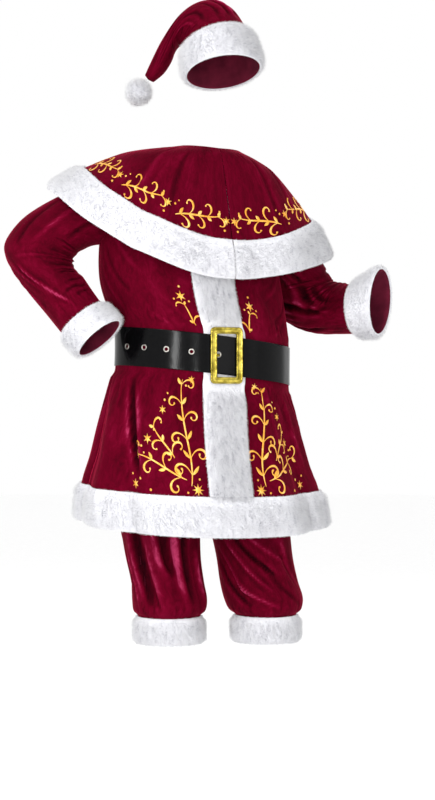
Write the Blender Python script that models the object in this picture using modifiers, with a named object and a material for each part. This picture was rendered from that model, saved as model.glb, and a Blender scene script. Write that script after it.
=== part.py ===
"""A santa suit in crushed velvet and faux fur, as it is worn: hat, coat, shoulder cape, belt, trousers.

Metres, +Z up. The origin is the middle of the coat's neckline, where the wearer's neck holds the suit.
The coat's front looks towards -Y, and +X is the wearer's left. Every cloth piece is a thin wall that is
lofted through a short table of sections, with its main folds, and open where the body goes through.
An angle round the body is 0 at the centre front, 90 at the wearer's left, 180 at the back.
"""

import math
from collections import namedtuple

import bmesh
import bpy
from mathutils import Vector

# ---- driving dimensions -------------------------------------------------------------------------
VELVET = 0.0018            # wall of the velvet with its backing
GAP = 0.0003               # between pieces that are sewn together
LAID = 0.0007              # between a panel and what lies on it, whose facets differ
FUR = 0.013                # pile height of the fur trims
BELT_WIDTH = 0.090
BELT_THICK = 0.0022
BELT_LEVEL = -0.492        # height of the belt's middle
PLACKET_WIDTH = 0.104      # fur strip down the coat's front
HEM_FUR_TOP = -0.800
EYELET_SPACING = 0.055
BUCKLE_WIDTH = 0.079
BUCKLE_HEIGHT = 0.131
POMPOM_RADIUS = 0.037

# ---- tables -------------------------------------------------------------------------------------
# Coat: one row for each level. Centre, half width, depth to the front and to the back, roll in degrees
# about Y (+ lifts the wearer's right), and how much lower the front hangs than the middle.
Level = namedtuple("Level", "z x y half_width front back roll dip")
COAT = [
    Level(-0.884, -0.017, 0.000, 0.298, 0.236, 0.232, 1.0, 0.026),
    Level(-0.800, -0.022, 0.000, 0.286, 0.224, 0.220, 1.2, 0.018),
    Level(-0.735, -0.024, 0.000, 0.264, 0.208, 0.206, 1.8, 0.012),
    Level(-0.670, -0.024, 0.000, 0.248, 0.192, 0.190, 2.6, 0.008),
    Level(-0.610, -0.019, 0.000, 0.236, 0.171, 0.172, 4.0, 0.004),
    Level(-0.565, -0.017, 0.000, 0.224, 0.158, 0.156, 5.6, 0.0),
    Level(-0.540, -0.014, 0.000, 0.215, 0.156, 0.148, 6.3, 0.0),
    Level(-0.444, -0.014, 0.000, 0.215, 0.156, 0.148, 6.3, 0.0),
    Level(-0.415, -0.022, 0.000, 0.222, 0.157, 0.149, 6.8, 0.0),
    Level(-0.340, -0.038, 0.004, 0.230, 0.156, 0.144, 7.6, 0.0),
    Level(-0.250, -0.043, 0.010, 0.224, 0.146, 0.138, 8.6, 0.0),
    Level(-0.165, -0.038, 0.014, 0.212, 0.128, 0.128, 9.6, 0.0),
    Level(-0.105, -0.028, 0.014, 0.196, 0.110, 0.112, 10.0, 0.0),
    Level(-0.062, -0.018, 0.012, 0.166, 0.096, 0.096, 9.6, 0.0),
    Level(-0.026, -0.008, 0.006, 0.124, 0.085, 0.082, 8.0, 0.0),
    Level(0.000, 0.000, 0.000, 0.080, 0.074, 0.070, 5.0, 0.0),
]
# Folds of the coat: angle at the top and bottom end, heights where it starts and ends, half width in
# degrees, depth (+ out, - in).
Fold = namedtuple("Fold", "top_angle low_angle top low half_width depth")
TO_THE_HEM = -1.00
COAT_FOLDS = [
    Fold(-60, -42, -0.535, TO_THE_HEM, 9, -0.013),
    Fold(-76, -64, -0.560, TO_THE_HEM, 11, 0.010),
    Fold(-88, -86, -0.545, TO_THE_HEM, 10, -0.011),
    Fold(24, 30, -0.560, TO_THE_HEM, 11, 0.009),
    Fold(44, 48, -0.545, TO_THE_HEM, 10, -0.011),
    Fold(62, 70, -0.560, TO_THE_HEM, 11, 0.010),
    Fold(92, 94, -0.545, TO_THE_HEM, 10, -0.012),
    Fold(112, 118, -0.560, TO_THE_HEM, 12, 0.011),
    Fold(136, 142, -0.545, TO_THE_HEM, 11, -0.013),
    Fold(165, 164, -0.560, TO_THE_HEM, 12, 0.012),
    Fold(-172, -170, -0.545, TO_THE_HEM, 10, -0.012),
    Fold(-146, -148, -0.560, TO_THE_HEM, 12, 0.011),
    Fold(-118, -122, -0.545, TO_THE_HEM, 11, -0.012),
    Fold(-36, -52, -0.290, -0.440, 13, -0.007),
    Fold(34, 60, -0.300, -0.440, 13, -0.007),
    Fold(140, 122, -0.250, -0.440, 14, -0.008),
    Fold(-150, -128, -0.240, -0.440, 14, -0.008),
]
# Sleeves: one row for each section, as its inner and its outer edge in the bend of the arm, and its
# half depth across the bend.
Section = namedtuple("Section", "inner outer half_depth")
SLEEVE_RIGHT = [
    Section((-0.150, 0.034, -0.235), (-0.165, 0.034, -0.064), 0.068),
    Section((-0.221, 0.032, -0.227), (-0.236, 0.065, -0.062), 0.074),
    Section((-0.270, 0.032, -0.228), (-0.321, 0.077, -0.098), 0.077),
    Section((-0.298, 0.036, -0.238), (-0.392, 0.089, -0.137), 0.077),
    Section((-0.317, 0.041, -0.252), (-0.437, 0.101, -0.173), 0.076),
    Section((-0.324, 0.041, -0.267), (-0.470, 0.107, -0.221), 0.075),
    Section((-0.324, 0.037, -0.276), (-0.471, 0.101, -0.257), 0.074),
    Section((-0.318, 0.028, -0.291), (-0.451, 0.085, -0.300), 0.074),
    Section((-0.308, 0.010, -0.306), (-0.426, 0.057, -0.345), 0.073),
    Section((-0.296, -0.016, -0.335), (-0.394, 0.023, -0.394), 0.069),
    Section((-0.278, -0.046, -0.371), (-0.362, -0.011, -0.444), 0.060),
]
SLEEVE_LEFT = [
    Section((0.140, -0.036, -0.184), (0.140, 0.098, -0.184), 0.070),
    Section((0.220, -0.040, -0.216), (0.208, 0.104, -0.212), 0.070),
    Section((0.275, -0.010, -0.278), (0.225, 0.116, -0.248), 0.068),
    Section((0.308, 0.002, -0.300), (0.222, 0.154, -0.318), 0.073),
    Section((0.322, 0.000, -0.305), (0.238, 0.156, -0.366), 0.073),
    Section((0.332, -0.008, -0.308), (0.270, 0.121, -0.398), 0.071),
    Section((0.342, -0.018, -0.310), (0.298, 0.065, -0.420), 0.068),
    Section((0.350, -0.032, -0.313), (0.332, 0.012, -0.431), 0.064),
    Section((0.355, -0.050, -0.319), (0.363, -0.061, -0.434), 0.060),
]
# The direction across each sleeve, from its shoulder to its cuff. At the elbow the sleeve bends about it.
ACROSS_RIGHT = [(0.15, 0.98, 0.0), (0.38, 0.92, -0.04), (0.43, 0.89, -0.11), (0.456, 0.877, -0.160)]
ACROSS_LEFT = [(0.30, 0.0, 1.0), (0.88, 0.40, 0.20), (0.757, 0.560, 0.300), (0.697, 0.715, 0.0)]
# Fur cuffs carry on from the sleeve's last section: inner and outer edge of the opening, half depth.
CUFF_RIGHT = Section((-0.251, -0.092, -0.415), (-0.332, -0.052, -0.490), 0.066)
CUFF_LEFT = Section((0.412, -0.107, -0.277), (0.404, -0.097, -0.434), 0.077)
# Cape: one row for each direction from the neck. Radius and height of the neckline, the shoulder, the
# seam of the fur and the lower edge.
Ray = namedtuple("Ray", "angle neck_r neck_z top_r top_z seam_r seam_z edge_r edge_z")
CAPE = [
    Ray(0, 0.077, 0.000, 0.108, -0.045, 0.166, -0.232, 0.182, -0.316),
    Ray(30, 0.076, 0.000, 0.128, -0.050, 0.180, -0.225, 0.204, -0.306),
    Ray(60, 0.077, 0.000, 0.160, -0.058, 0.226, -0.194, 0.258, -0.278),
    Ray(90, 0.078, 0.000, 0.172, -0.056, 0.262, -0.156, 0.310, -0.244),
    Ray(105, 0.077, 0.001, 0.168, -0.050, 0.266, -0.140, 0.334, -0.226),
    Ray(120, 0.076, 0.002, 0.158, -0.045, 0.250, -0.148, 0.308, -0.242),
    Ray(150, 0.071, 0.004, 0.136, -0.038, 0.200, -0.186, 0.230, -0.282),
    Ray(180, 0.070, 0.006, 0.130, -0.032, 0.178, -0.206, 0.200, -0.300),
    Ray(210, 0.074, 0.007, 0.144, -0.024, 0.222, -0.160, 0.258, -0.254),
    Ray(240, 0.080, 0.009, 0.188, -0.006, 0.286, -0.046, 0.352, -0.092),
    Ray(255, 0.082, 0.010, 0.198, -0.004, 0.304, -0.046, 0.384, -0.094),
    Ray(270, 0.083, 0.010, 0.194, -0.010, 0.294, -0.070, 0.366, -0.124),
    Ray(285, 0.082, 0.009, 0.182, -0.020, 0.270, -0.116, 0.326, -0.186),
    Ray(300, 0.081, 0.008, 0.166, -0.032, 0.240, -0.165, 0.276, -0.246),
    Ray(330, 0.079, 0.004, 0.130, -0.046, 0.184, -0.216, 0.208, -0.302),
]
CAPE_OPENING = 0.0020      # between the cape's front edges
# Trouser legs: a level's middle, half width and half depth, and the roll of the level in degrees.
LegLevel = namedtuple("LegLevel", "z x y half_width half_depth roll")
SEAT_X = -0.014            # the centre seam of the trousers
LEG_RIGHT = [
    LegLevel(-1.136, -0.088, 0.031, 0.071, 0.074, 0.0),
    LegLevel(-1.112, -0.088, 0.031, 0.074, 0.077, 0.0),
    LegLevel(-1.098, -0.087, 0.031, 0.087, 0.088, 0.0),
    LegLevel(-1.070, -0.087, 0.031, 0.090, 0.092, 0.0),
    LegLevel(-1.030, -0.092, 0.032, 0.087, 0.094, 0.0),
    LegLevel(-0.970, -0.102, 0.034, 0.089, 0.100, 0.0),
    LegLevel(-0.890, -0.112, 0.030, 0.095, 0.112, 0.0),
    LegLevel(-0.820, -0.118, 0.022, 0.100, 0.126, 0.0),
    LegLevel(-0.760, -0.122, 0.014, 0.108, 0.140, 1.0),
    LegLevel(-0.700, -0.110, 0.006, 0.116, 0.142, 2.0),
    LegLevel(-0.620, -0.070, 0.000, 0.140, 0.140, 4.0),
    LegLevel(-0.550, -0.030, -0.004, 0.170, 0.138, 6.3),
    LegLevel(-0.5134, -0.014, -0.004, 0.2080, 0.1455, 6.3),
]
LEG_LEFT = [
    LegLevel(-1.136, 0.141, -0.020, 0.069, 0.072, 0.0),
    LegLevel(-1.112, 0.141, -0.020, 0.072, 0.075, 0.0),
    LegLevel(-1.098, 0.139, -0.020, 0.088, 0.088, 0.0),
    LegLevel(-1.070, 0.135, -0.018, 0.096, 0.094, 0.0),
    LegLevel(-1.030, 0.125, -0.014, 0.094, 0.096, 0.0),
    LegLevel(-0.970, 0.115, -0.010, 0.091, 0.102, 0.0),
    LegLevel(-0.890, 0.104, -0.004, 0.095, 0.114, 0.0),
    LegLevel(-0.820, 0.098, 0.002, 0.100, 0.128, 0.0),
    LegLevel(-0.760, 0.094, 0.004, 0.108, 0.140, 1.0),
    LegLevel(-0.700, 0.082, 0.004, 0.116, 0.142, 2.0),
    LegLevel(-0.620, 0.042, 0.000, 0.140, 0.140, 4.0),
    LegLevel(-0.550, 0.002, -0.004, 0.170, 0.138, 6.3),
    LegLevel(-0.5134, -0.014, -0.004, 0.2080, 0.1455, 6.3),
]
CROTCH = -0.760
LEG_FUR_TOP = -1.1125
LEG_FUR_BOTTOM = -1.176
LEG_RIGHT_FOLDS = [
    Fold(-56, -40, -0.860, -1.120, 15, -0.013),
    Fold(-12, 4, -0.850, -1.120, 15, -0.014),
    Fold(26, 40, -0.880, -1.120, 15, -0.012),
    Fold(-30, -18, -0.860, -1.120, 15, 0.006),
    Fold(110, 128, -0.860, -1.120, 17, -0.012),
    Fold(168, 180, -0.850, -1.120, 17, -0.013),
    Fold(-128, -116, -0.870, -1.120, 16, -0.011),
]
LEG_LEFT_FOLDS = [
    Fold(-52, 20, -0.880, -1.090, 15, -0.010),
    Fold(-84, -30, -0.940, -1.120, 14, -0.009),
    Fold(-10, 60, -0.870, -1.060, 15, -0.009),
    Fold(96, 128, -0.870, -1.110, 17, -0.011),
    Fold(152, 172, -0.860, -1.110, 17, -0.012),
    Fold(-146, -128, -0.870, -1.110, 16, -0.011),
]
# Hat: sections from its opening to its tip, in a frame turned by HAT_TURN about Z. Inner and outer edge
# across and up, how far back the middle lies, and the half depth.
HAT_TURN = -20.0
HAT_LEAN = 12.0            # the hat tips back, so its band is higher at the front
HatRing = namedtuple("HatRing", "inner_x inner_z outer_x outer_z back half_depth")
HAT = [
    HatRing(-0.050, 0.176, 0.124, 0.198, -0.020, 0.106),
    HatRing(-0.053, 0.214, 0.112, 0.240, -0.014, 0.106),
    HatRing(-0.054, 0.248, 0.094, 0.284, -0.006, 0.100),
    HatRing(-0.056, 0.257, 0.072, 0.322, 0.000, 0.088),
    HatRing(-0.061, 0.263, 0.040, 0.348, 0.006, 0.078),
    HatRing(-0.068, 0.264, 0.006, 0.360, 0.010, 0.068),
    HatRing(-0.075, 0.258, -0.036, 0.350, 0.014, 0.058),
    HatRing(-0.080, 0.246, -0.076, 0.318, 0.016, 0.048),
    HatRing(-0.088, 0.222, -0.112, 0.268, 0.018, 0.037),
    HatRing(-0.106, 0.194, -0.138, 0.218, 0.020, 0.026),
    HatRing(-0.134, 0.170, -0.154, 0.184, 0.022, 0.012),
]
HAT_FUR_TOP = 2.0          # the fur band covers the hat's first sections, up to this row
HAT_FUR = 0.011

RED = (0.155, 0.004, 0.022, 1.0)
WHITE = (0.87, 0.87, 0.88, 1.0)
BLACK = (0.012, 0.012, 0.015, 1.0)
BRASS = (0.74, 0.52, 0.09, 1.0)
STEEL = (0.55, 0.55, 0.56, 1.0)


# ---- curves and surfaces ------------------------------------------------------------------------
def spline(rows, t, closed=False):
    """A smooth curve through rows of numbers, at t counted in rows."""
    count = len(rows)
    if not closed:
        t = min(max(t, 0.0), count - 1.0)
    i = min(math.floor(t), count - 2) if not closed else math.floor(t)
    f = t - i
    if closed:
        p = [rows[(i + k) % count] for k in (-1, 0, 1, 2)]
    else:
        p = [rows[min(max(i + k, 0), count - 1)] for k in (-1, 0, 1, 2)]
    return [
        0.5 * (2 * b + (c - a) * f + (2 * a - 5 * b + 4 * c - d) * f * f + (3 * b - a - 3 * c + d) * f ** 3)
        for a, b, c, d in zip(*p)
    ]


def smooth(x):
    """0 below 0, 1 above 1, and a soft step between them."""
    x = min(max(x, 0.0), 1.0)
    return x * x * (3 - 2 * x)


def fold_depth(folds, angle, z):
    """How far the folds push the cloth out at an angle in degrees and a height."""
    total = 0.0
    for fold in folds:
        if not fold.low < z < fold.top:
            continue
        down = (fold.top - z) / (fold.top - fold.low)
        middle = fold.top_angle + (fold.low_angle - fold.top_angle) * down
        off = abs((angle - middle + 180) % 360 - 180) / fold.half_width
        if off < 1:
            ends = smooth(3 * down) * (1.0 if fold.low == TO_THE_HEM else smooth(3 * (1 - down)))
            total += fold.depth * ends * math.cos(off * math.pi / 2) ** 2
    return total


def level_point(level, angle, out):
    """A point of an oval level with separate front and back depths, `out` beyond the oval."""
    z, x, y, half_width, front, back, roll, dip = level
    s = math.sin(math.radians(angle))
    c = math.cos(math.radians(angle))
    across = (half_width + out) * s
    depth = (front if c > 0 else back) + out
    lean = math.radians(roll)
    return Vector((x + across * math.cos(lean), y - depth * c, z - dip * c - across * math.sin(lean)))


def coat_point(angle, t):
    """The coat's outer surface at an angle round the body and at row t of its table."""
    level = spline(COAT, t)
    return level_point(level, angle, fold_depth(COAT_FOLDS, angle, level[0]))


def cape_point(angle, t):
    """The cape's outer surface: t is 0 at the lower edge, 1 fur seam, 2 shoulder, 3 neckline."""
    turn = angle % 360
    angles = [row.angle for row in CAPE] + [360]
    i = max(k for k in range(len(CAPE)) if angles[k] <= turn)
    row = spline(CAPE, i + (turn - angles[i]) / (angles[i + 1] - angles[i]), closed=True)
    radius, z = spline([(row[1], row[2]), (row[3], row[4]), (row[5], row[6]), (row[7], row[8])], 3 - t)
    wave = 0.004 * smooth(2 - t) * math.cos(math.radians(9 * angle))
    radius += wave
    return Vector((radius * math.sin(math.radians(angle)), -radius * math.cos(math.radians(angle)), z))


def leg_point(table, folds, angle, t):
    """A trouser leg's outer surface at an angle round the leg and at row t of its table."""
    z, x, y, half_width, half_depth, roll = spline(table, t)
    level = (z, x, y, half_width, half_depth, half_depth, 0.0, 0.0)
    point = level_point(level, angle, fold_depth(folds, angle, z))
    point.z -= (point.x - SEAT_X) * math.tan(math.radians(roll))
    return point


def ring_point(section, turn, out):
    """A point of a tube's section, `turn` in degrees from its outer edge and `out` beyond its wall."""
    inner, outer, half_depth, across = section
    side = (outer - inner) / 2
    phi = math.radians(turn)
    reach = side.normalized() * (side.length + out) * math.cos(phi)
    return (inner + outer) / 2 + reach + across * (half_depth + out) * math.sin(phi)


def sleeve_section(table, directions, t):
    row = spline([(*row.inner, *row.outer, row.half_depth) for row in table], t)
    across = Vector(spline(directions, t / (len(table) - 1) * (len(directions) - 1)))
    return Vector(row[:3]), Vector(row[3:6]), row[6], across.normalized()


def hat_section(t):
    row = spline(HAT, t)
    turn = math.radians(HAT_TURN)
    lean = math.radians(HAT_LEAN)
    right = Vector((math.cos(turn), math.sin(turn), 0))
    back = Vector((-math.sin(turn), math.cos(turn), 0))
    up = Vector((0, 0, 1))
    inner = right * row[0] + up * row[1] + back * row[4]
    outer = right * row[2] + up * row[3] + back * row[4]
    return inner, outer, row[5], back * math.cos(lean) - up * math.sin(lean)


def normal_of(surface, u, v, step_u=0.6, step_v=0.04):
    """The outward normal of a surface whose u runs round it and whose v runs up or along it."""
    du = surface(u + step_u, v) - surface(u - step_u, v)
    dv = surface(u, v + step_v) - surface(u, v - step_v)
    return du.cross(dv).normalized()


def over(surface):
    """A function that gives the surface's points moved out along its normal."""

    def place(u, v, out):
        return surface(u, v) + normal_of(surface, u, v) * out

    return place


# ---- making objects -----------------------------------------------------------------------------
def collection(name):
    made = bpy.data.collections.new(name)
    bpy.context.scene.collection.children.link(made)
    return made


def material(name, colour, roughness, metallic=0.0):
    made = bpy.data.materials.new(name)
    made.use_nodes = True
    shader = made.node_tree.nodes["Principled BSDF"]
    shader.inputs["Base Color"].default_value = colour
    shader.inputs["Roughness"].default_value = roughness
    shader.inputs["Metallic"].default_value = metallic
    return made


def add_object(name, mesh, finish, place):
    body = bpy.data.objects.new(name, mesh)
    mesh.materials.append(finish)
    place.objects.link(body)
    return body


def finish_mesh(name, bm, smooth_angle=50):
    """Turn a bmesh that holds one closed body into a mesh whose faces point out."""
    bmesh.ops.remove_doubles(bm, verts=bm.verts, dist=0.00002)
    bmesh.ops.recalc_face_normals(bm, faces=bm.faces)
    mesh = bpy.data.meshes.new(name)
    bm.to_mesh(mesh)
    bm.free()
    mesh.shade_smooth()
    mesh.set_sharp_from_angle(angle=math.radians(smooth_angle))
    return mesh


def slab(name, place, us, vs, low, high, closed=True, tip=False):
    """A wall between two distances from a surface, over a grid of u and v values.

    place(u, v, distance) gives a point; low and high are numbers or functions of u and v. closed joins
    the last column to the first, and tip draws the last row together in one point.
    """
    bm = bmesh.new()
    layers = []
    for distance in (high, low):
        far = distance if callable(distance) else lambda _u, _v, same=distance: same
        rows = [[bm.verts.new(place(u, v, far(u, v))) for u in us] for v in vs]
        if tip:
            middle = sum((vert.co for vert in rows[-1]), Vector()) / len(us)
            for vert in rows[-1]:
                vert.co = middle
        layers.append(rows)
    outer, inner = layers
    count = len(us)
    spans = count if closed else count - 1
    for rows in layers:
        for j in range(len(vs) - 1):
            for i in range(spans):
                k = (i + 1) % count
                bm.faces.new((rows[j][i], rows[j][k], rows[j + 1][k], rows[j + 1][i]))
    ends = [0] if tip else [0, len(vs) - 1]
    for j in ends:
        for i in range(spans):
            k = (i + 1) % count
            bm.faces.new((outer[j][i], outer[j][k], inner[j][k], inner[j][i]))
    if not closed:
        for i in (0, count - 1):
            for j in range(len(vs) - 1):
                bm.faces.new((outer[j][i], outer[j + 1][i], inner[j + 1][i], inner[j][i]))
    bmesh.ops.remove_doubles(bm, verts=bm.verts, dist=0.00002)
    bmesh.ops.dissolve_degenerate(bm, edges=bm.edges, dist=0.00001)
    return finish_mesh(name, bm)


def plug(name, place, us, vs, distance):
    """A closed solid of a tube or body, capped at both ends, for cutting."""
    bm = bmesh.new()
    rows = [[bm.verts.new(place(u, v, distance)) for u in us] for v in vs]
    count = len(us)
    for j in range(len(vs) - 1):
        for i in range(count):
            k = (i + 1) % count
            bm.faces.new((rows[j][i], rows[j][k], rows[j + 1][k], rows[j + 1][i]))
    for row in (rows[0], rows[-1]):
        middle = bm.verts.new(sum((vert.co for vert in row), Vector()) / count)
        for i in range(count):
            bm.faces.new((row[i], row[(i + 1) % count], middle))
    return finish_mesh(name, bm)


def cut(body, cutter):
    """Subtract a cutter from a body."""
    change = body.modifiers.new("cut " + cutter.name, "BOOLEAN")
    change.operation = "DIFFERENCE"
    change.solver = "EXACT"
    change.object = cutter


def add_cutter(name, mesh, place):
    cutter = bpy.data.objects.new(name, mesh)
    cutter.hide_render = True
    cutter.display_type = "WIRE"
    place.objects.link(cutter)
    return cutter


def steps(first, last, count):
    """count + 1 even values from first to last."""
    return [first + (last - first) * i / count for i in range(count + 1)]


def row_at(table, z):
    """The row number, with its fraction, at which a table of levels reaches a height."""
    low, high = 0.0, len(table) - 1.0
    for _ in range(40):
        middle = (low + high) / 2
        if spline(table, middle)[0] < z:
            low = middle
        else:
            high = middle
    return (low + high) / 2


def pile(height, first, last):
    """The outer side of a fur trim that runs from v first to v last: thin at its two edges."""

    def distance(_u, v):
        edge = min(v - first, last - v) / (last - first)
        return GAP + height * (0.35 + 0.65 * smooth(edge / 0.2))

    return distance


# ---- coat ---------------------------------------------------------------------------------------
AROUND = 56                # columns round the coat
T_HEM = row_at(COAT, HEM_FUR_TOP)
COAT_ROWS = [0.25, 0.85, 1.0, 2.0, 3.0, 4.0, 5.0, 6.0, 7.0, 8.0, 9.0, 10.0, 11.2, 12.4, 13.6, 15.0]
PLACKET_TOP = 12.4         # the row of the coat's table where the fur strip ends, under the cape


def coat_panel(name, first, last, finish, place):
    """One panel of the coat between two angles, stopping half a gap short of each seam."""
    seam = math.degrees(GAP / 2 / 0.2)
    count = round(AROUND * (last - first) / 360)
    us = steps(first, last, count)
    us[0] += seam
    us[-1] -= seam
    mesh = slab(name, over(coat_point), us, COAT_ROWS, -VELVET, 0.0, closed=False)
    return add_object(name, mesh, finish, place)


def placket_pile(u, v):
    """The placket's pile: pressed flat under the belt and under the cape, thin at both sides."""
    z = spline(COAT, v)[0]
    belt = smooth((abs(z - BELT_LEVEL) - 0.072) / 0.030)
    cape = smooth((-0.245 - z) / 0.030)
    height = 0.0035 + (FUR - 0.0035) * min(belt, cape)
    half = math.degrees(PLACKET_WIDTH / 2 / spline(COAT, v)[3])
    side = smooth((1 - abs(u) / half) / 0.35)
    return LAID + height * (0.35 + 0.65 * side)


def make_placket(finish, place):
    """The fur strip down the coat's centre front, the same width at every level."""
    bottom = row_at(COAT, HEM_FUR_TOP + 0.0005)
    vs = [bottom, *(v for v in COAT_ROWS if bottom + 0.3 < v < PLACKET_TOP), PLACKET_TOP]

    def surface(u, v):
        return coat_point(u * PLACKET_WIDTH / 2 / spline(COAT, v)[3], v)

    def high(u, v):
        return placket_pile(u * PLACKET_WIDTH / 2 / spline(COAT, v)[3], v)

    us = [math.degrees(1) * share for share in (-1.0, -0.7, -0.25, 0.25, 0.7, 1.0)]
    mesh = slab("placket_fur", over(surface), us, vs, LAID, high, closed=False)
    return add_object("placket_fur", mesh, finish, place)


def make_sleeve(side, table, cuff, across, velvet, fur, place, cutters, torso):
    """A sleeve with its fur cuff, trimmed to the coat's surface, and the cutter of its armhole."""
    rows = [*table, cuff]
    last = len(rows) - 1.0
    inner_zone = 0.55 * (len(table) - 1)

    def surface(u, v, out):
        return ring_point(sleeve_section(rows, across, v), u, out)

    def creases(u, v):
        """Small folds that fan out from the inner elbow."""
        inside = smooth((100 - abs(u % 360 - 180)) / 70)
        near = smooth(1.6 - abs(v - inner_zone) / 2.0)
        return -0.0018 * inside * near * (1 - math.cos(2 * math.pi * v))

    def inner_side(u, v):
        return creases(u, v) - VELVET

    us = steps(0, 360, 16)[:-1]
    fur_start = last - 1.0
    fur_rows = [fur_start, fur_start + 0.25, fur_start + 0.85, last]
    vs = [0, 0.7, 1.3, *(v / 2 for v in range(4, round(2 * fur_start))), *fur_rows[:-1], last - 0.06]
    sleeve = add_object("sleeve_" + side, slab("sleeve_" + side, surface, us, vs, inner_side, creases),
                        velvet, place)
    cut(sleeve, torso)
    band = slab("cuff_fur_" + side, surface, us, fur_rows, GAP, pile(FUR, fur_start, last))
    add_object("cuff_fur_" + side, band, fur, place)
    hole = plug("armhole " + side, surface, us, [0, 0.5, 1, 1.5, 2, 2.5], -VELVET)
    return add_cutter("armhole_" + side, hole, cutters)


def make_coat(velvet, fur, place, cutters):
    us = steps(-180, 180, AROUND)[:-1]
    torso = add_cutter("torso", plug("torso", over(coat_point), us, COAT_ROWS[5:], GAP), cutters)
    armholes = [
        make_sleeve("right", SLEEVE_RIGHT, CUFF_RIGHT, ACROSS_RIGHT, velvet, fur, place, cutters, torso),
        make_sleeve("left", SLEEVE_LEFT, CUFF_LEFT, ACROSS_LEFT, velvet, fur, place, cutters, torso),
    ]
    panels = [
        coat_panel("coat_front_right", -90, 0, velvet, place),
        coat_panel("coat_front_left", 0, 90, velvet, place),
        coat_panel("coat_back", 90, 270, velvet, place),
    ]
    cut(panels[0], armholes[0])
    cut(panels[1], armholes[1])
    cut(panels[2], armholes[0])
    cut(panels[2], armholes[1])
    make_placket(fur, place)
    hem = slab("hem_fur", over(coat_point), us, [0.0, 0.25, 0.85, T_HEM], GAP, pile(FUR, 0.0, T_HEM))
    add_object("hem_fur", hem, fur, place)


# ---- shoulder cape ------------------------------------------------------------------------------
def make_cape(velvet, fur, place):
    """One cape whose front edges meet, and the fur along its lower edge."""
    slit = math.degrees(CAPE_OPENING / 2 / 0.12)
    us = steps(0, 360, 42)
    us[0] += slit
    us[-1] -= slit
    mesh = slab("cape", over(cape_point), us, [0.08, 0.9, 1.05, 1.35, 1.7, 2.1, 2.55, 3.0], -VELVET, 0.0,
                closed=False)
    add_object("cape", mesh, velvet, place)
    fur_rows = [0.0, 0.2, 0.9, 1.05]
    band = slab("cape_fur", over(cape_point), us, fur_rows, LAID, pile(FUR, 0.0, 1.05), closed=False)
    add_object("cape_fur", band, fur, place)


# ---- trousers -----------------------------------------------------------------------------------
def make_leg(side, table, folds, velvet, fur, place):
    """A leg that is a full ring below the crotch and half of the seat above it, and its fur cuff."""
    name = "trouser_leg_" + side
    sign = -1 if side == "right" else 1
    columns = 24
    low = row_at(table, LEG_FUR_BOTTOM + 0.045)
    crotch = table.index(next(row for row in table if row.z == CROTCH))
    levels = [low, 1, 2, 3, 4, 5, 6, 7, crotch, 9, 10, 11, 12]
    bm = bmesh.new()
    rows = []
    for v in levels:
        x, half_width = spline(table, v)[1], spline(table, v)[3]
        reach = 180.0
        if v > crotch:
            share = (abs(x - SEAT_X) - GAP / 2) / half_width
            reach = math.degrees(math.acos(max(-1.0, min(1.0, -share))))
        us = steps(90 * sign - reach, 90 * sign + reach, columns)
        rows.append([bm.verts.new(leg_point(table, folds, u, v)) for u in us])
    for row, v in zip(rows, levels):
        if v > crotch:
            for vert in (row[0], row[-1]):
                vert.co.x = SEAT_X + sign * GAP / 2
    for lower, upper in zip(rows, rows[1:]):
        for i in range(columns):
            bm.faces.new((lower[i], lower[i + 1], upper[i + 1], upper[i]))
    bmesh.ops.remove_doubles(bm, verts=bm.verts, dist=0.00002)
    mesh = bpy.data.meshes.new(name)
    bm.to_mesh(mesh)
    bm.free()
    mesh.shade_smooth()
    leg = add_object(name, mesh, velvet, place)
    wall = leg.modifiers.new("velvet", "SOLIDIFY")
    wall.thickness = VELVET
    wall.offset = -1.0

    def cuff_surface(u, v):
        """Straight down from the leg's narrow level above the cuff."""
        point = leg_point(table, folds, u, 1.0)
        return Vector((point.x, point.y, LEG_FUR_BOTTOM + (LEG_FUR_TOP - LEG_FUR_BOTTOM) * v))

    us = steps(0, 360, columns)[:-1]
    band = slab("trouser_fur_" + side, over(cuff_surface), us, [0.0, 0.25, 0.8, 1.0],
                GAP, pile(FUR, 0.0, 1.0))
    add_object("trouser_fur_" + side, band, fur, place)


def make_trousers(velvet, fur, place):
    make_leg("right", LEG_RIGHT, LEG_RIGHT_FOLDS, velvet, fur, place)
    make_leg("left", LEG_LEFT, LEG_LEFT_FOLDS, velvet, fur, place)
    us = steps(-180, 180, AROUND)[:-1]
    vs = [row_at(COAT, z) for z in (-0.5125, -0.472)]
    mesh = slab("waistband", over(coat_point), us, vs, -2 * VELVET - LAID, -VELVET - LAID)
    add_object("waistband", mesh, velvet, place)


# ---- belt ---------------------------------------------------------------------------------------
STRAP_TAIL = 38.0          # the loose end lies under the strap from the buckle to this angle
STRAP_FIXED = 11.1         # the strap's fixed end stands at the outer edge of the buckle's left bar
STRAP_LOW = BELT_LEVEL - BELT_WIDTH / 2
STRAP_HIGH = BELT_LEVEL + BELT_WIDTH / 2


def strap_point(turn, v):
    """The strap's inner side. turn runs from its loose end backwards round the body, v up its width."""
    angle = STRAP_TAIL - turn
    z = STRAP_LOW + (STRAP_HIGH - STRAP_LOW) * v
    level = spline(COAT, row_at(COAT, z))
    front = math.degrees(PLACKET_WIDTH / 2 / 0.207)
    over_fur = 0.0050 * smooth((front + 9 - abs((angle + 180) % 360 - 180)) / 12)
    over_tail = (BELT_THICK + 2 * GAP) * smooth((turn - 338) / 14)
    return level_point(level, angle, LAID + over_fur + over_tail)


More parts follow.
